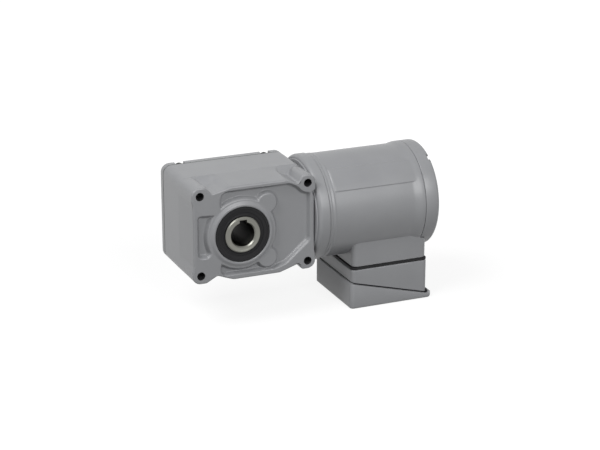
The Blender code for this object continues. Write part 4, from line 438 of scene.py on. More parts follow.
def place_piece(item, finish, body, slot, *stood_for, angle=32.0):
    """Shade a finished piece smooth up to the angle, give it its finish, and set it on its CAD body."""
    item.data.polygons.foreach_set("use_smooth", np.ones(len(item.data.polygons), bool))
    item.data.set_sharp_from_angle(angle=math.radians(angle))
    item.data.materials.clear()
    item.data.materials.append(finish)
    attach(item, body)
    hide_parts(*stood_for)
    print(f"{item.name}: {len(item.data.polygons)} faces for {', '.join(stood_for)}")
    return item


# %% [markdown]
# ## Outlines, profiles and turned pieces
# A maker draws an outline as straight lines with a radius at each corner. `soften` does the same: at
# each corner it swaps the point for an arc that touches both lines. A turned piece is such a profile
# carried round an axis, with enough sides that no facet shows.
# %% Outline and lathe helpers
def soften(corners, step=7.0):
    """Points of an outline of (a, b, radius) corners; each radius becomes an arc that touches both sides."""
    points = []
    for number, (a, b, radius) in enumerate(corners):
        corner = np.array((a, b), float)
        if radius <= 0:
            points.append(corner)
            continue
        before = np.array(corners[number - 1][:2]) - corner
        after = np.array(corners[(number + 1) % len(corners)][:2]) - corner
        before /= np.linalg.norm(before)
        after /= np.linalg.norm(after)
        half = math.acos(np.clip(before @ after, -1.0, 1.0)) / 2
        middle = corner + (before + after) / np.linalg.norm(before + after) * radius / math.sin(half)
        start = corner + before * radius / math.tan(half) - middle
        end = corner + after * radius / math.tan(half) - middle
        turn = math.atan2(start[0] * end[1] - start[1] * end[0], start @ end)
        t = np.linspace(0, turn, max(2, int(abs(math.degrees(turn)) / step) + 2))[:, None]
        points.extend(middle + np.cos(t) * start + np.sin(t) * np.array((-start[1], start[0])))
    return np.array(points)


def box_corners(a0, a1, b0, b1, radius):
    """Corners of a rectangle that share one radius."""
    return [(a0, b0, radius), (a1, b0, radius), (a1, b1, radius), (a0, b1, radius)]


def ring_points(profile, axis, centre, sides, radius_of=None):
    """Grid of a profile (radius, along) carried round an axis; radius_of(angle, profile) may vary it."""
    profile = np.asarray(profile, float)
    angle = np.linspace(0, 2 * np.pi, sides, endpoint=False)[:, None]
    radius = profile[None, :, 0] if radius_of is None else radius_of(angle, profile)
    along = np.broadcast_to(profile[None, :, 1], (sides, len(profile)))
    first, second = centre[0] + radius * np.cos(angle), centre[1] + radius * np.sin(angle)
    first, second = np.broadcast_arrays(first, second)
    order = {"X": (along, first, second), "Y": (first, along, second), "Z": (first, second, along)}[axis]
    return np.stack(order, -1)


def turned(name, profile, axis, centre=(0.0, 0.0), sides=96, radius_of=None):
    """A turned piece: its closed profile carried round the axis that passes the centre."""
    return merge_close(ring_surface(name, ring_points(profile, axis, centre, sides, radius_of)))


def rod(name, radius, low, high, axis, centre, sides=48):
    """A plain closed rod, used as a cutter."""
    return turned(name, [(0.0, low), (radius, low), (radius, high), (0.0, high)], axis, centre, sides)


def rods(name, radius, low, high, axis, centres, sides=48):
    """The same rod at each of several centres."""
    return [rod(f"{name}_{n}", radius, low, high, axis, centre, sides) for n, centre in enumerate(centres)]


def brick(name, low, high):
    """A plain closed block between two corners, used as a cutter."""
    low, high = np.array(low, float), np.array(high, float)
    corner = np.array([(0, 0), (1, 0), (1, 1), (0, 1)])
    grid = np.zeros((4, 4, 3))
    middle = (low + high) / 2
    for row, (share, level) in enumerate(((0, low[2]), (1, low[2]), (1, high[2]), (0, high[2]))):
        flat = low[:2] + corner * (high - low)[:2]
        grid[:, row, :2] = middle[:2] + (flat - middle[:2]) * share
        grid[:, row, 2] = level
    return merge_close(ring_surface(name, grid))


# %% [markdown]
# ## The gear case
# The case is a die-cast shell. Seen from the front it has an ear round each of its four mounting holes
# and a valley beside each ear; further back it is a plain rounded box, and each valley runs out in a
# ramp. The front face is sunk by 5 mm round the shaft's boss, and every wall meets the next in a soft
# fillet, as cast metal does. It could be a box with Booleans and bevels, but bevels break on such
# corners. So it is one surface: rays run from the boss out to the outline, and the sunk field is a
# smooth function of the distance to its drawn edge.
# %% Outlines of the case
def front_outline():
    """Front of the case: an ear round each hole, a valley beside it, and sides a little inside the box."""
    ear = ear_radius
    (x0, x1), (z0, z1) = hole_x, hole_z
    left, right, high, low = x0 - ear, x1 + ear, z1 + ear, z0 - ear
    side, top, floor = case_left + 1.7, case_top - 3.0, case_bottom + 0.2
    dip_l, dip_r, dip_t, dip_b = x0 + 1.48 * ear, x1 - 1.18 * ear, z1 + 1.2, z0 - 2.4
    return soften([
        (left, high, ear), (x0 + 0.7 * ear, high, 0.6 * ear), (dip_l, dip_t, 2.5), (dip_l + 20.0, top, 8.0),
        (dip_r - 13.0, top, 8.0), (dip_r, dip_t - 0.6, 2.5), (x1 - 0.6 * ear, high, 0.5 * ear),
        (right, high, ear), (right, z1 - 0.9 * ear, 1.5), (right - 3.2, z1 - 1.25 * ear, 2.0),
        (right - 1.4, z1 - 1.9 * ear, 3.0), (right - 1.2, z0 + 1.2 * ear, 3.0), (right, z0 + 0.5 * ear, 3.0),
        (right, low, ear), (x1 - 0.7 * ear, low, 0.5 * ear), (dip_r, dip_b, 2.5),
        (dip_r - 20.0, floor, 12.0), (dip_l + 22.0, floor, 12.0),
        (dip_l + 5.0, dip_b, 4.0), (x0 + 0.7 * ear, low, 0.6 * ear),
        (left, low, ear), (left, z0 + 0.5 * ear, 3.0), (side, z0 + 1.3 * ear, 3.0),
        (side, z1 - 1.3 * ear, 3.0), (left, z1 - 0.5 * ear, 3.0)])


def full_outline():
    """Plain rounded box, its corners centred on the mounting holes."""
    return soften(box_corners(case_left, case_right, case_bottom, case_top, ear_radius + 0.2))


def even_points(outline, count):
    """The outline as evenly spaced points: its length is summed and cut into equal steps."""
    closed = np.vstack([outline, outline[:1]])
    travelled = np.concatenate([[0.0], np.cumsum(np.linalg.norm(np.diff(closed, axis=0), axis=1))])
    wanted = np.linspace(0, travelled[-1], count, endpoint=False)
    return np.stack([np.interp(wanted, travelled, closed[:, k]) for k in (0, 1)], -1)


def reach(outline, angles):
    """Distance from the origin to an outline in each direction, read off its own points by angle."""
    dense = even_points(outline, 4000)
    angle = np.arctan2(dense[:, 1], dense[:, 0])
    order = np.argsort(angle)
    return np.interp(angles, angle[order], np.hypot(*dense.T)[order], period=2 * np.pi)


# %% [markdown]
# ### The sunk fields
# Each field is drawn as an outline. The distance from a point to that outline, positive inside, tells
# how far the point lies down the wall. The boss, the two lugs and the ears are kept out of the field:
# for each circle the distance to it is taken too, and a smooth minimum joins them, which rounds the
# crease where they meet.
# %% Distance functions
def inside_distance(points, outline):
    """Signed distance to an outline: least distance to its edges, positive where a ray crosses it oddly."""
    a, b = outline, np.roll(outline, -1, axis=0)
    edge = b - a
    rest = points[:, None, :] - a[None]
    share = np.clip((rest * edge).sum(-1) / np.maximum((edge ** 2).sum(-1), 1e-12), 0, 1)
    away = np.hypot(*np.moveaxis(rest - share[..., None] * edge, -1, 0)).min(1)
    straddle = (a[:, 1] > points[:, None, 1]) != (b[:, 1] > points[:, None, 1])
    rise = np.where(np.abs(edge[:, 1]) < 1e-12, 1e-12, edge[:, 1])
    cross = a[:, 0] + (points[:, None, 1] - a[:, 1]) * edge[:, 0] / rise
    odd = (straddle & (points[:, None, 0] < cross)).sum(1) % 2
    return np.where(odd == 1, away, -away)


def smooth_min(values, blend):
    """Minimum with rounded corners: minus blend times the log of the summed exponentials."""
    return -blend * np.log(sum(np.exp(-np.clip(v, -40, 40) / blend) for v in values))


def wall_share(distance, width):
    """0 outside the field and 1 on its floor, with a smooth step of the given width between them."""
    t = np.clip(distance / width, 0, 1)
    return t * t * (3 - 2 * t)


boss_radius, lug_radius = 36.0, 9.2
field_blend, main_wall, left_wall = 0.9, 3.6, 4.4     # rounding between two walls, and the walls' widths
main_field = soften([(-24.0, 47.6, 10.0), (-24.0, -43.4, 6.0), (36.0, -43.4, 10.0), (49.0, -39.2, 10.0),
                     (75.3, -17.0, 8.0), (75.3, 34.0, 3.0), (62.7, 42.0, 2.0), (53.0, 47.6, 10.0)], 15.0)
left_field = soften([(-48.4, 25.4, 5.0), (-48.4, -22.0, 6.0), (-36.0, -22.0, 2.0), (-24.0, -10.0, 0.0),
                     (-24.0, 24.0, 0.0)], 15.0)


def field_share(points, spots):
    """How far sunk each face point is, 0 to 1; spots are circles (radius, x, z) that stay at face height."""
    kept = [(boss_radius, 0.0, 0.0), (lug_radius, 27.8, 29.3), (lug_radius, 27.8, -29.3)] + spots
    away = [np.hypot(points[:, 0] - x, points[:, 1] - z) - radius for radius, x, z in kept]
    main = smooth_min([inside_distance(points, main_field), *away], field_blend)
    left = smooth_min([inside_distance(points, left_field), *away], field_blend)
    return np.maximum(wall_share(main, main_wall), wall_share(left, left_wall))


# %% [markdown]
# ### One function for both castings
# The back cover has the same outline, boss and ears as the front, so both castings come from one
# function. Its second parameter runs from the rim along the outside wall, over the edge, across the face
# to the boss, down the seal's bore and the bearing seat, and back along the inside. Round the seal
# stands a low rim, whose sloped outer side catches the light.
# %% The casting surface
edge_fillet = 1.6                               # between the outside wall and the mounting face
ramp_start, ramp_length = 8.0, 13.0             # where the valleys run out, and over how much
valley_inset, valley_blend = 3.2, 2.5           # how far inside the box a valley counts as one
ray_end = 39.6                                  # radius where the lines across the face meet the boss
neck_inset = 4.0                                # how far inside the outline the neck line runs
seal_rim = [(35.2, 0.0), (34.6, 0.08), (33.9, 0.4), (33.1, 0.95), (32.3, 1.5), (31.7, 1.85), (31.2, 2.0),
            (30.0, 2.0), (29.7, 1.9), (29.3, 1.4)]      # radius, and height over the face
seat_wall = 39.3                                # outside of the wall round the bearing seat
bearing_seat = [(29.3, 39.9), (34.3, 39.9), (34.3, 24.5), (seat_wall, 24.5)]    # radius, and depth


def room_reach(angles, corners, posts):
    """Distance from the origin to the inside wall: the box's wall, or the near side of a post before it."""
    far = reach(soften(corners), angles)
    for x, z, radius in posts:
        along = x * np.cos(angles) + z * np.sin(angles)
        square = radius ** 2 - (x * x + z * z - along ** 2)
        near = np.where((square > 0) & (along > 0), along - np.sqrt(np.maximum(square, 0)), 1e9)
        far = np.minimum(far, near)
    return far


def ring_at(flat, y):
    """One ring of a casting: flat places (x, z) at a depth y, one number or a value for each place."""
    return np.stack([flat[:, 0], np.broadcast_to(np.asarray(y, float), len(flat)), flat[:, 1]], -1)


def face_lines(front, count):
    """Even points of the outline, their angles and directions, the neck line, and which way round they run.

    An angle is the point's own, but along an ear it runs evenly from one foot of its web to the other,
    because a ray through an ear would cross the outline more than once. The neck line cuts the ears off.
    """
    outline = even_points(front, count)
    outline = np.roll(outline, -np.argmin(np.abs(np.arctan2(outline[:, 1], outline[:, 0]))), axis=0)
    raw = np.unwrap(np.arctan2(outline[:, 1], outline[:, 0]))
    number = np.arange(count)
    body = np.all([np.hypot(outline[:, 0] - x, outline[:, 1] - z) > web
                   for (x, z), web in zip(ears, ear_webs)], 0)
    angle = np.interp(number, number[body], raw[body])
    way = np.stack([np.cos(angle), np.sin(angle)], -1)
    far = np.interp(number, number[body], np.hypot(*outline[body].T))
    return outline, angle, way, way * (far - neck_inset)[:, None], np.sign(raw[-1] - raw[0])


def outside_wall(full, outline):
    """Rings of the front case's outside, from the full box at the back to the outline of its front.

    In a valley, where the outline lies well inside the box, the ring moves in fast, as a quarter of a sine
    wave. Elsewhere it leans in evenly up to the face.
    """
    quick = wall_share(np.linalg.norm(full - outline, axis=1) - valley_inset, valley_blend)[:, None]
    rows = [ring_at(full, -20.0), ring_at(full, ramp_start - 1.0)]
    for y in np.concatenate([[ramp_start, 8.6, 9.4], np.arange(10.5, 23.0, 1.2),
                             np.linspace(25.0, face_y - edge_fillet, 7)]):
        ramp = np.sin(np.pi / 2 * np.clip((y - ramp_start) / ramp_length, 0, 1))
        slope = np.clip((y - ramp_start) / (face_y - ramp_start), 0, 1)
        rows.append(ring_at(full + (outline - full) * (quick * ramp + (1 - quick) * slope), y))
    return rows


def rounded_edge(outline, turn):
    """Rings of the quarter round between outside wall and face, and the line where the face begins."""
    tangent = np.roll(outline, -1, axis=0) - np.roll(outline, 1, axis=0)
    inward = np.stack([-tangent[:, 1], tangent[:, 0]], -1) * turn
    inward *= edge_fillet / np.linalg.norm(inward, axis=1)[:, None]
    rows = [ring_at(outline + inward * (1 - math.cos(bend)), face_y - edge_fillet * (1 - math.sin(bend)))
            for bend in np.radians([0, 18, 36, 54, 72, 90])]
    return rows, outline + inward


def casting(name, side, rim_y, front, depth, spots, inside, posts, count, rays):
    """Shell of a casting; side is -1 for the front case and +1 for the back cover.

    A point is the direction round the output axis and the place along the profile. Across the face it is a
    straight blend, first from the edge to the neck line and then to the boss circle, and its depth is the
    face less the sunk field's share. Then come the seal's rim, the bearing seat and the inside.
    """
    outline, angle, way, neck, turn = face_lines(front, count)
    full = way * reach(full_outline(), angle)[:, None]
    rows = [ring_at(full, rim_y)]
    if side < 0:
        rows += outside_wall(full, outline)
    edge_rows, edge = rounded_edge(outline, turn)
    paths = [edge + (neck - edge) * share for share in np.linspace(0, 1, 7 * fine)[1:]]
    paths += [neck + (way * ray_end - neck) * share for share in np.linspace(0, 1, rays)[1:]]
    paths += [way * radius for radius in np.linspace(seat_wall, boss_radius, 8)]
    rows += edge_rows + [ring_at(flat, face_y - depth * field_share(flat, spots)) for flat in paths]
    rows += [ring_at(way * radius, face_y + rise) for radius, rise in seal_rim]
    rows += [ring_at(way * radius, y) for radius, y in bearing_seat]
    for corners, y0, y1 in inside:
        flat = way * room_reach(angle, corners, posts)[:, None] if corners else way * seat_wall
        rows += [ring_at(flat, y0), ring_at(flat, y1)]
    grid = np.stack(rows, 1)
    grid[..., 1] *= side
    return ring_surface(name, grid)


# %% [markdown]
# ### Holes, and the finished front case
# The mounting holes go right through the ears. The hole in the right wall takes the motor bracket's
# nose, and small holes take the screws. They are cut with closed rods, because a drilled hole is just
# that.
# %% Build the gear case
screw_post = 5.6                                # radius of the metal round each screw of the case cover
posts = [(x, z, ear_radius) for x, z in ears] + [(x, z, screw_post) for x, z in case_screws]
front_room = box_corners(case_left + 10.0, case_right - 6.0, case_bottom + 12.0, case_top - 13.0, 8.0)
back_room = box_corners(case_left + 5.0, case_right - 5.0, case_bottom + 5.0, case_top - 5.0, 4.0)
bracket_screws = [(y, motor_z + z) for y in (-31.0, 31.0) for z in (-32.5, 32.5)]
ear_faces = [(ear_radius, x, z) for x, z in ears]
gear_case = casting("gear_case_shell", -1, -case_back, front_outline(), depth=5.0, spots=ear_faces,
                    inside=[(None, 36.5, 36.5), (front_room, 36.5, 3.0), (back_room, 3.0, -case_back)],
                    posts=posts, count=350 * fine, rays=27 * fine)
cutters = rods("ear_hole", hole_radius, -60.0, 60.0, "Y", ears)
cutters += rods("case_screw_hole", m6_hole, 19.0, 60.0, "Y", case_screws, 16)
cutters += rods("bracket_hole", m5_hole, 60.0, 90.0, "X", bracket_screws, 16)
cutters += [rod("nose_hole", 30.0, 70.0, 90.0, "X", (0.0, motor_z), 96)]
place_piece(combine(gear_case, cutters), case_enamel_hole_shade, "casing", "paint", "gear_case")

# %% [markdown]
# ### The back cover
# The cover closes the case from behind. It is the same casting with a shallower field, and at each of
# its four screws a pocket is milled in from the top or bottom edge, down to the screw's head, which
# shows black in it.
# %% Build the case cover
pockets = [(7.2, x, z) for x, z in case_screws]
case_cover = casting("gear_case_cover_plate", 1, cover_plate, full_outline(), depth=3.0,
                     spots=ear_faces + pockets, inside=[(None, cover_plate, cover_plate)],
                     posts=posts, count=330 * fine, rays=26 * fine)
cutters = rods("cover_ear_hole", hole_radius, 30.0, 60.0, "Y", ears)
cutters += rods("cover_screw_hole", m6_hole, 30.0, 60.0, "Y", case_screws, 24)
cutters += rods("cover_pocket", cover_pocket, pocket_floor, 60.0, "Y", case_screws)
for n, (x, z) in enumerate(case_screws):
    low, high = sorted((z, 70.0 if z > 0 else -70.0))
    cutters.append(brick(f"cover_notch_{n}", (x - cover_pocket, pocket_floor, low),
                         (x + cover_pocket, 60.0, high)))
    low, high = sorted((z + math.copysign(4.2, z), math.copysign(70.0, z)))
    cutters.append(brick(f"cover_lip_{n}", (x - cover_pocket, 30.0, low), (x + cover_pocket, 41.0, high)))
place_piece(combine(case_cover, cutters), case_enamel_hole_shade, "casing", "paint", "gear_case_cover")

# %% [markdown]
# ## Cap screws
# Black socket-head screws hold the castings. The head has a small chamfer and a hexagon socket. One
# surface does it all: the profile runs from the socket's floor up its wall, over the head and down the
# shank, and in the socket the radius changes with the angle, as the distance to a hexagon's side does.
# %% Build the screws
def socket_screw(name, axis, centre, head_end, head, head_radius, shank_radius, tip, across):
    """A socket-head screw; head_end is the outer face of the head and tip the far end of the shank."""
    way = 1.0 if head_end > tip else -1.0
    under = head_end - way * head
    profile = [(0.0, head_end - way * 0.5 * head), (across, head_end - way * 0.5 * head), (across, head_end),
               (head_radius - 0.5, head_end), (head_radius, head_end - way * 0.5), (head_radius, under),
               (shank_radius, under), (shank_radius, tip + way * 0.6), (shank_radius - 0.6, tip), (0.0, tip)]

    def hexagon(angle, points):
        """In the socket, the distance to a hexagon's side in each direction; elsewhere the drawn radius."""
        wide = across / np.cos((angle + np.pi / 6) % (np.pi / 3) - np.pi / 6)
        in_socket = np.array([0, 1, 1] + [0] * 7, bool)[None, :]
        return np.where(in_socket, wide, points[None, :, 0])

    item = turned(name + "_socket_head", profile, axis, centre, 48, hexagon)
    return place_piece(item, blackened_steel, "casing", "black_steel", name, angle=28.0)


for n, spot in enumerate(case_screws, 1):
    low, high = span(f"case_cover_screw_{n}", 1)
    socket_screw(f"case_cover_screw_{n}", "Y", spot, high, head=5.3, head_radius=4.9, shank_radius=2.9,
                 tip=low, across=2.5)
rear_turn = math.radians(57.5)
rear_screws = [(sy * rear_circle * math.cos(rear_turn), motor_z + sz * rear_circle * math.sin(rear_turn))
               for sy in (-1, 1) for sz in (-1, 1)]
for n, spot in enumerate(rear_screws, 1):
    low, high = span(f"rear_cover_screw_{n}", 0)
    socket_screw(f"rear_cover_screw_{n}", "X", spot, high, head=5.0, head_radius=4.25, shank_radius=2.4,
                 tip=low, across=2.2)
for n, spot in enumerate(box_screws, 1):
    low, high = span(f"box_cover_screw_{n}", 2)
    socket_screw(f"box_cover_screw_{n}", "Z", spot, low, head=2.6, head_radius=3.5, shank_radius=1.9,
                 tip=high, across=1.6)

# %% [markdown]
# ## The hollow shaft and its seals
# The shaft's end stands a little proud of the black seal. Its bore is chamfered at both ends and has a
# keyway at the top. The seal is a steel ring cased in rubber: the outer rim is a little raised, the face
# falls in a shallow cone, and a thin dust lip runs up to the shaft.
# %% Build the shaft and the seals
half, barrel = 50.0, 24.0
profile = [(12.5, -half + 1.6), (13.7, -half + 0.2), (16.2, -half + 0.2), (16.6, -half), (17.9, -half),
           (19.0, -half + 1.1), (19.0, -39.5), (19.7, -39.5),
           (19.7, -24.2), (barrel, -24.2), (barrel, 4.0), (21.5, 4.0), (21.5, 20.0), (19.7, 20.0),
           (19.7, 39.5), (19.0, 39.5), (19.0, half - 1.1), (17.9, half), (16.6, half), (16.2, half - 0.2),
           (13.7, half - 0.2), (12.5, half - 1.6)]
shaft = turned("hollow_shaft_turned", profile, "Y", sides=128)
key_low, key_high = span("gear_key", 1)
cutters = [brick("keyway", (-4.0, -60.0, 0.0), (4.0, 60.0, 15.8)),
           brick("gear_key_seat", (-4.3, key_low - 0.3, -30.0), (4.3, key_high + 0.3, -18.3))]
place_piece(combine(shaft, cutters), shaft_steel_bore_shade, "output_shaft", "steel", "hollow_shaft")

for name, side in (("front_oil_seal", -1), ("rear_oil_seal", 1)):
    profile = [(29.0, 40.2), (29.0, 47.6), (28.6, 48.0), (26.9, 48.0), (26.5, 47.5), (23.2, 47.1),
               (22.8, 46.6), (21.0, 46.6), (19.9, 47.6), (19.35, 47.5), (19.9, 46.2), (21.2, 44.5),
               (19.3, 42.6), (21.8, 40.2)]
    seal = turned(name + "_moulded", [(radius, side * y) for radius, y in profile], "Y", sides=128)
    place_piece(seal, seal_rubber, "casing", "rubber", name)

# %% [markdown]
# ## The motor bracket
# The bracket is a turned casting between case and motor. Its flange is a little wider than the motor, and
# its left edge is a large quarter round, which catches the light. The nose inside the case holds the
# front bearing, and a low collar at its root makes the gap to the case less deep.
# %% Build the bracket
flange_start, flange_end = 81.0, 93.5
bore = motor_radius - frame_wall
shoulder = [(bracket_radius - 4.5 + 4.5 * math.sin(a), flange_start + 4.5 * (1 - math.cos(a)))
            for a in np.radians(np.linspace(0, 90, 9))]
profile = [(28.7, 45.5), (29.7, 46.5), (29.7, 77.0), (28.0, 77.0), (28.0, 79.6), (29.7, 79.6),
           (29.7, flange_start - 1.2)]
profile += [(bracket_radius - 5.2, flange_start - 1.2), (bracket_radius - 4.8, flange_start - 0.8)]
profile += shoulder + [(bracket_radius, flange_end - 0.5), (bracket_radius - 0.5, flange_end),
                       (bore - 0.3, flange_end), (bore - 0.3, 98.5), (bore - 3.5, 98.5), (bore - 9.0, 86.0),
                       (25.0, 86.0), (20.3, 81.0), (20.3, 66.6), (18.5, 66.6), (18.5, 63.6), (23.8, 63.6),
                       (23.8, 48.9), (25.3, 48.9), (25.3, 47.3), (23.8, 47.3), (23.8, 45.5)]
bracket = turned("motor_bracket_casting", profile, "X", (0.0, motor_z), 144)
cutters = rods("flange_hole", m5_hole, 77.5, 96.0, "X", bracket_screws, 24)
cutters += rods("flange_pocket", 4.55, 86.0, 120.0, "X", bracket_screws, 32)
place_piece(combine(bracket, cutters), grey_enamel, "casing", "paint", "motor_bracket")

# %% [markdown]
# ## The motor frame
# The frame is a cast tube. Its front end has two low bands, turned to meet the bracket. Towards the rear
# it flares to meet the wider end cover, on its upper front it has a long raised pad, where the real one
# carries a nameplate and this one stays bare, and underneath it grows a flat seat for the terminal box.
# Tube, flare and pad are one surface whose radius depends on the angle and on the place along the motor;
# the seat is a second closed shape that is joined to it.
# %% Build the motor frame
def step_between(value, low, high, soft):
    """1 between two limits and 0 outside them, with a smooth edge of the given width."""
    return wall_share(value - low + soft / 2, soft) * wall_share(high - value + soft / 2, soft)


edge_round = [(0.7 - math.sqrt(0.49 - (0.7 - d) ** 2), d) for d in (0.0, 0.1, 0.3, 0.7)]
pad_height, pad_turns, pad_x = 0.9, (31.0, 58.5), (101.5, 197.0)
sides = 360 * fine
turns = np.linspace(0, 2 * np.pi, sides, endpoint=False)
inset, reach_in = np.array(edge_round).T
stations = np.concatenate([frame_start + reach_in, np.linspace(95.0, 200.8, 56 * fine),
                           frame_end - reach_in[::-1]])
band = 0.5 * (1 - wall_share(stations - 96.0, 1.0)) + 0.4 * step_between(stations, 98.2, 100.2, 0.8)
flare = (end_radius - motor_radius) * wall_share(stations - 188.5, 11.0)
lean = np.degrees(np.arctan2(np.sin(turns), -np.cos(turns)))        # angle above the front side
pad = (step_between(lean, *pad_turns, 1.6)[:, None] *
       step_between(stations, *pad_x, 2.0)[None, :] * pad_height)
outer = np.maximum(motor_radius + flare[None, :] + band[None, :], motor_radius + pad)
outer[:, :len(inset)] -= inset
outer[:, -len(inset):] -= inset[::-1]
across, rise = np.cos(turns)[:, None], np.sin(turns)[:, None]
skin_rows = np.stack([np.broadcast_to(stations, outer.shape), outer * across, motor_z + outer * rise], -1)
bore_rows = np.stack([np.broadcast_to([frame_end, frame_start], (sides, 2)),
                      np.broadcast_to(bore * across, (sides, 2)),
                      motor_z + np.broadcast_to(bore * rise, (sides, 2))], -1)
tube = ring_surface("motor_frame_casting", np.concatenate([skin_rows, bore_rows], 1))


def upright_ring(name, outline_rows):
    """Closed prism from (outline, heights) rows: every row is a ring of (x, y) places and its height z."""
    grid = np.stack([np.column_stack([flat, np.broadcast_to(z, len(flat))]) for flat, z in outline_rows], 1)
    return merge_close(ring_surface(name, grid))


def scaled_round(x0, x1, half_width, radius, count=160):
    """Evenly spaced outline of a rounded rectangle seen from above, its middle on the motor's axis."""
    return even_points(soften(box_corners(x0, x1, -half_width, half_width, radius)), count)


def lead_window(name, low, high):
    """A cutter between two heights for the opening that the motor leads go through."""
    return brick(name, (163.0, -16.0, low), (188.0, 16.0, high))


seat_x0, seat_x1, seat_half, seat_z = box_x0 + 1.2, box_x1 - 1.3, box_half, span("motor_frame", 2)[0]
seat_flat = scaled_round(seat_x0, seat_x1, seat_half, 5.6)
seat_point = np.array([[(seat_x0 + seat_x1) / 2, 0.0]]).repeat(len(seat_flat), 0)
seat_edge = seat_point + (seat_flat - seat_point) * (1 - 0.8 / 42.0)
seat = upright_ring("frame_seat", [(seat_point, seat_z), (seat_edge, seat_z), (seat_flat, seat_z + 0.8),
                                   (seat_flat, -20.0), (seat_point, -20.0)])
combine(tube, [seat], "UNION")
hollow = scaled_round(seat_x0 + frame_wall, seat_x1 - frame_wall, seat_half - frame_wall, 2.0)
room = upright_ring("seat_room", [(seat_point, seat_z - 2.0), (hollow, seat_z - 2.0), (hollow, 0.0),
                                  (seat_point, 0.0)])
columns = rods("seat_column", 5.0, seat_z - 5.0, 5.0, "Z", seat_screws, 24)
combine(room, [rod("seat_roof", motor_radius - 0.3, 90.0, 215.0, "X", (0.0, motor_z), 144), *columns])
cutters = [room, rod("frame_bore", bore, 90.0, 215.0, "X", (0.0, motor_z), 144),
           rod("frame_end_trim", end_radius + 0.9, frame_end, 215.0, "X", (0.0, motor_z), 144),
           lead_window("frame_window", -80.0, -32.0)]
cutters += rods("seat_screw_hole", m5_hole, seat_z - 5.0, seat_z + 7.0, "Z", seat_screws, 24)
combine(tube, cutters)
bosses = rods("rear_boss", 4.6, frame_end - 20.0, frame_end, "X", rear_screws, 32)
combine(tube, bosses, "UNION")
holes = rods("rear_hole", m5_hole, frame_end - 17.0, frame_end + 5.0, "X", rear_screws, 24)
place_piece(combine(tube, holes), grey_enamel, "casing", "paint", "motor_frame", angle=26.0)

# %% [markdown]
# ## The motor's rear cover
# The cover closes the rear end. Its edge is a quarter round. Each of its four screws sits in a round
# pocket, and a shallow slot runs from the pocket out to the rim, where it leaves a small notch. A row of
# overlapping rods cuts the slot. Inside, a hub holds the rear bearing.
# %% Build the rear cover
cover_x, inner_x = 202.1, motor_end - 4.6
end_round = 3.6
profile = [(0.0, motor_end), (end_radius - end_round, motor_end)]
profile += [(end_radius - end_round + end_round * math.sin(a), motor_end - end_round * (1 - math.cos(a)))
            for a in np.radians(np.linspace(8, 90, 10))]
profile += [(end_radius - d, cover_x + d_x) for d, d_x in edge_round[::-1]]
profile += [(bore, cover_x), (bore, inner_x),
            (22.0, inner_x), (22.0, 199.5), (17.8, 199.5), (17.8, inner_x), (0.0, inner_x)]
rear = turned("motor_rear_cover_casting", profile, "X", (0.0, motor_z), 144)
floor_x, head_room = cover_x + 5.4, 4.55
bosses = []
for n, (y, z) in enumerate(rear_screws):
    scale = 1.0 - (rear_circle + head_room + 2.0 - end_radius + 0.6) / rear_circle
    bosses.append(rod(f"slot_boss_{n}", head_room + 2.0, cover_x + 0.3, inner_x + 1.0, "X",
                      (y * scale, motor_z + (z - motor_z) * scale), 48))
combine(rear, bosses, "UNION")
cutters = rods("rear_screw_hole", m5_hole, cover_x - 5.0, 230.0, "X", rear_screws, 24)
cutters += rods("rear_pocket", head_room, floor_x, 230.0, "X", rear_screws)
slot_half, slot_depth = 3.6, 3.6
for n, (y, z) in enumerate(rear_screws):
    for k, out in enumerate(np.arange(0.96, 1.2, 0.04)):
        cutters.append(rod(f"rear_slot_{n}_{k}", slot_half, motor_end - slot_depth, 230.0, "X",
                           (y * out, motor_z + (z - motor_z) * out), 32))
place_piece(combine(rear, cutters), grey_enamel, "casing", "paint", "motor_rear_cover")

# %% [markdown]
# ## The terminal box
# The box is two castings that meet in a slanted joint, so the wedge-shaped cover comes off to the left
# and below. A thick rubber gasket seals it to the motor's seat, and a thin one lies in the joint. Each
# casting is an upright ring: the outline from above, carried down the outside, round the rim and up the
# inside. The slant enters as a height that falls evenly along the box.
# %% Sizes of the box
base_top = span("terminal_box_base", 2)[1]
box_bottom = span("terminal_box_cover", 2)[0]
box_middle = np.array([[(box_x0 + box_x1) / 2, 0.0]])


def joint_height(x):
    """Height of the slanted joint, falling by 23 mm over the box's length."""
    return -72.8 - 23.0 * (x - box_x0) / (box_x1 - box_x0)


def shrunk(flat, by):
    """The outline moved inwards by a length, along the normal of each of its points."""
    tangent = np.roll(flat, -1, axis=0) - np.roll(flat, 1, axis=0)
    normal = np.stack([-tangent[:, 1], tangent[:, 0]], -1)
    return flat + normal / np.linalg.norm(normal, axis=1)[:, None] * by


def room_outline(outside):
    """Inside of the box with its four screw columns standing, in the directions of an outside outline."""
    flat = outside - box_middle
    angles = np.arctan2(flat[:, 1], flat[:, 0])
    corners = box_corners(box_x0 + box_wall - box_middle[0, 0], box_x1 - box_wall - box_middle[0, 0],
                          box_wall - box_half, box_half - box_wall, 3.4)
    columns = [(x - box_middle[0, 0], y, 4.7) for x, y in box_screws]
    radius = room_reach(angles, corners, columns)[:, None]
    return box_middle + np.stack([np.cos(angles), np.sin(angles)], -1) * radius


print(f"box top {base_top:.1f}, bottom {box_bottom:.1f}")
print(f"joint {joint_height(box_x0):.1f}..{joint_height(box_x1):.1f}")

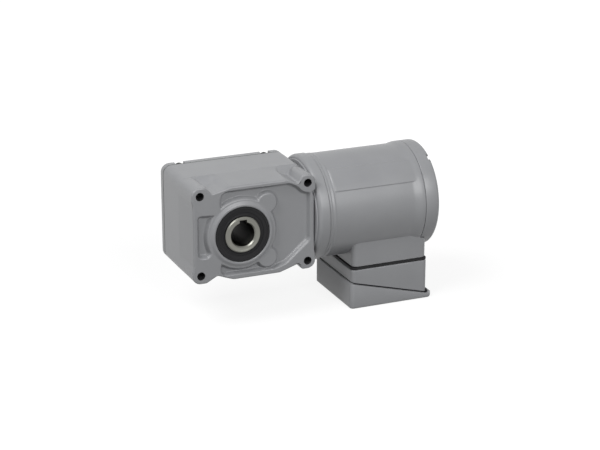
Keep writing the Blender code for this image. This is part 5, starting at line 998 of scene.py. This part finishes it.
# %% Build the gasket under the seat, the box base and the box cover
count = 320
walls = scaled_round(box_x0, box_x1, box_half, 4.4, count)
middle = box_middle.repeat(count, 0)
low, high = span("terminal_box_gasket", 2)
bulge = [(shrunk(walls, 0.5), low), (walls, low + 0.5), (walls, high - 0.5), (shrunk(walls, 0.5), high)]
pad_gasket = upright_ring("terminal_box_gasket_moulded", [(middle, low), *bulge, (middle, high)])
cutters = [lead_window("gasket_window", -70.0, -50.0)]
cutters += rods("gasket_hole", m5_hole, -70.0, -50.0, "Z", seat_screws, 24)
place_piece(combine(pad_gasket, cutters), seal_rubber, "casing", "rubber", "terminal_box_gasket")

room_flat = room_outline(walls)
rim = joint_height(walls[:, 0]) + 0.7
rows = [(middle, base_top), (shrunk(walls, 1.2), base_top)]
rows += [(shrunk(walls, 1.2 * (1 - math.sin(a))), base_top - 1.2 * (1 - math.cos(a)))
         for a in np.radians((20, 45, 70, 90))]
rows += [(walls, (base_top - 1.2 + rim) / 2), (walls, rim + 0.4), (shrunk(walls, 0.4), rim),
         (room_flat, joint_height(room_flat[:, 0]) + 0.7), (room_flat, base_top - box_wall),
         (middle, base_top - box_wall)]
base = upright_ring("terminal_box_base_casting", rows)
cutters = [rod(f"base_column_hole_{n}", m4_hole, -120.0, joint_height(x) + 10.0, "Z", (x, y), 24)
           for n, (x, y) in enumerate(box_screws)]
cutters += rods("base_seat_hole", m5_hole, -66.0, -50.0, "Z", seat_screws, 24)
cutters += [lead_window("base_window", -66.0, -50.0),
            rod("base_earth_hole", m4_hole, -66.0, base_top - 0.6, "Z", (150.5, 30.0), 24),
            rod("base_entry_hole", 9.0, 38.0, 50.0, "Y", (182.0, -74.9))]
place_piece(combine(base, cutters), grey_enamel, "casing", "paint", "terminal_box_base")

lip_x = box_x1 + 2.6
tab_flat = scaled_round(box_x0 + 0.5, lip_x - 0.3, box_half - 0.5, 4.2, count)
tab_room = room_outline(tab_flat)
tab_joint = joint_height(np.minimum(tab_flat[:, 0], box_x1))
tab_top = tab_joint + 0.6 + 1.9 * wall_share(tab_flat[:, 0] - box_x1 - 0.4, 0.8)
rows = [(tab_flat, tab_joint - 0.5), (tab_flat, tab_top), (shrunk(tab_flat, 1.8), tab_top),
        (shrunk(tab_flat, 2.0), tab_joint + 0.5), (tab_room, joint_height(tab_room[:, 0]) + 0.5),
        (tab_room, joint_height(tab_room[:, 0]) - 0.5)]
lid_gasket = upright_ring("box_cover_gasket_moulded", rows)
cutters = rods("lid_gasket_hole", m4_hole, -120.0, -60.0, "Z", box_screws, 24)
place_piece(combine(lid_gasket, cutters), seal_rubber, "casing", "rubber", "box_cover_gasket")

lid_x0, lid_x1 = span("terminal_box_cover", 0)
lid_x1 -= 0.6
lid_half = -span("terminal_box_cover", 1)[0]
lid_flat = scaled_round(lid_x0, lid_x1, lid_half, 4.6, count)
lid_room = room_outline(lid_flat)
lid_middle = np.array([[(lid_x0 + lid_x1) / 2, 0.0]]).repeat(count, 0)
edge_drop = joint_height(np.minimum(lid_flat[:, 0], box_x1)) - 0.7
lip_top = edge_drop + 1.6 * wall_share(lid_flat[:, 0] - lip_x - 0.4, 0.8)
low_round = 2.4
rows = [(lid_middle, box_bottom), (shrunk(lid_flat, low_round), box_bottom)]
rows += [(shrunk(lid_flat, low_round * (1 - math.sin(a))), box_bottom + low_round * (1 - math.cos(a)))
         for a in np.radians((15, 30, 45, 60, 75, 90))]
rows += [(lid_flat, lip_top - 0.6), (shrunk(lid_flat, 0.2), lip_top - 0.2), (shrunk(lid_flat, 0.6), lip_top),
         (shrunk(lid_flat, 2.6), lip_top), (shrunk(lid_flat, 2.8), edge_drop),
         (lid_room, joint_height(lid_room[:, 0]) - 0.7), (lid_room, box_bottom + box_wall),
         (lid_middle, box_bottom + box_wall)]
lid = upright_ring("terminal_box_cover_casting", rows)
cutters = rods("lid_hole", m4_hole, -120.0, -60.0, "Z", box_screws, 24)
cutters += rods("lid_pocket", 3.8, -120.0, box_bottom + 2.9, "Z", box_screws, 32)
place_piece(combine(lid, cutters), grey_enamel, "casing", "paint", "terminal_box_cover")

# %% [markdown]
# ## Stage
# The photograph was taken against plain white in soft light. The case's top and left side are brighter
# than its front, the motor is bright down to its middle, and the box's left side, in the case's shadow,
# is dark. So one wide lamp stands high at the left and one lower in front. The floor fills the frame. It
# shows the camera its own white and adds the light that falls on it, so that it stays white where it is
# lit and keeps the object's soft shadow.
# %% Floor, world and lamps
def seen_rays(tree):
    """1 for the rays that show the background: straight to the camera, or by way of metal or glass."""
    path = tree.nodes.new("ShaderNodeLightPath")
    return math_node(tree, "MAXIMUM", path.outputs["Is Camera Ray"],
                     math_node(tree, "MAXIMUM", path.outputs["Is Glossy Ray"],
                               path.outputs["Is Transmission Ray"]))


def stage_floor():
    """A square of pale floor that the object's lowest face stands on."""
    size, z = 12.0, box_bottom * MM
    mesh = bpy.data.meshes.new("floor")
    mesh.from_pydata([(-size, -size, z), (size, -size, z), (size, size, z), (-size, size, z)], [],
                     [(0, 1, 2, 3)])
    floor = bpy.data.objects.new("floor", mesh)
    bpy.context.scene.collection.objects.link(floor)
    material = bpy.data.materials.new("pale_floor")
    material.use_nodes = True
    tree = material.node_tree
    shader = tree.nodes["Principled BSDF"]
    shader.inputs["Base Color"].default_value = (0.18, 0.18, 0.18, 1.0)
    shader.inputs["Roughness"].default_value = 0.9
    shader.inputs["Specular IOR Level"].default_value = 0.0
    place = tree.nodes.new("ShaderNodeTexCoord")
    away = tree.nodes.new("ShaderNodeVectorMath")
    away.operation = "LENGTH"
    tree.links.new(place.outputs["Object"], away.inputs[0])
    near = tree.nodes.new("ShaderNodeMapRange")
    near.interpolation_type = "SMOOTHSTEP"
    for socket, value in zip(("From Min", "From Max", "To Min", "To Max"), (0.2, 0.8, 0.86, 1.0)):
        near.inputs[socket].default_value = value
    tree.links.new(away.outputs["Value"], near.inputs["Value"])
    glow = tree.nodes.new("ShaderNodeEmission")
    tree.links.new(math_node(tree, "MULTIPLY", seen_rays(tree), near.outputs["Result"]),
                   glow.inputs["Strength"])
    both = tree.nodes.new("ShaderNodeAddShader")
    tree.links.new(shader.outputs[0], both.inputs[0])
    tree.links.new(glow.outputs[0], both.inputs[1])
    tree.links.new(both.outputs[0], tree.nodes["Material Output"].inputs["Surface"])
    mesh.materials.append(material)


def aim(item, target):
    """Turn a lamp or a camera so that it looks at a place."""
    item.rotation_euler = (item.location - Vector(target)).to_track_quat("Z", "Y").to_euler()


def softbox(name, place, size, power):
    """A square area lamp that looks at the object."""
    data = bpy.data.lights.new(name, "AREA")
    data.shape, data.size, data.energy = "SQUARE", size, power
    lamp = bpy.data.objects.new(name, data)
    bpy.context.scene.collection.objects.link(lamp)
    lamp.location = place
    aim(lamp, (0.08, 0.0, 0.0))


stage_floor()
softbox("left_key", (-1.36, -0.45, 1.90), 1.35, 43.0)
softbox("front_light", (0.25, -1.66, 0.92), 1.0, 19.0)
world = bpy.data.worlds.new("plain_studio")
bpy.context.scene.world = world
world.use_nodes = True
sky = world.node_tree.nodes["Background"]
sky.inputs["Color"].default_value = (1.0, 1.0, 1.0, 1.0)
dim = math_node(world.node_tree, "MULTIPLY", seen_rays(world.node_tree), 0.8)
world.node_tree.links.new(math_node(world.node_tree, "ADD", dim, 0.2), sky.inputs["Strength"])

# %% [markdown]
# ## Camera
# The photograph looks down at the left front of the drive from well back, with a long lens. The camera's
# place and lens were fitted to points that can be told apart in the photograph, such as the hole
# centres.
# %% Camera
photo_width, focal_length = 600.0, 1899.0       # in pixels of the photograph
lens = bpy.data.cameras.new("camera")
lens.sensor_width = 36.0
lens.lens = lens.sensor_width * focal_length / photo_width
camera = bpy.data.objects.new("camera", lens)
bpy.context.scene.collection.objects.link(camera)
camera.location = (-0.6525, -1.7244, 0.6421)
aim(camera, (0.0695, -0.0315, -0.0048))
bpy.context.scene.camera = camera
bpy.context.scene.view_settings.view_transform = "Standard"
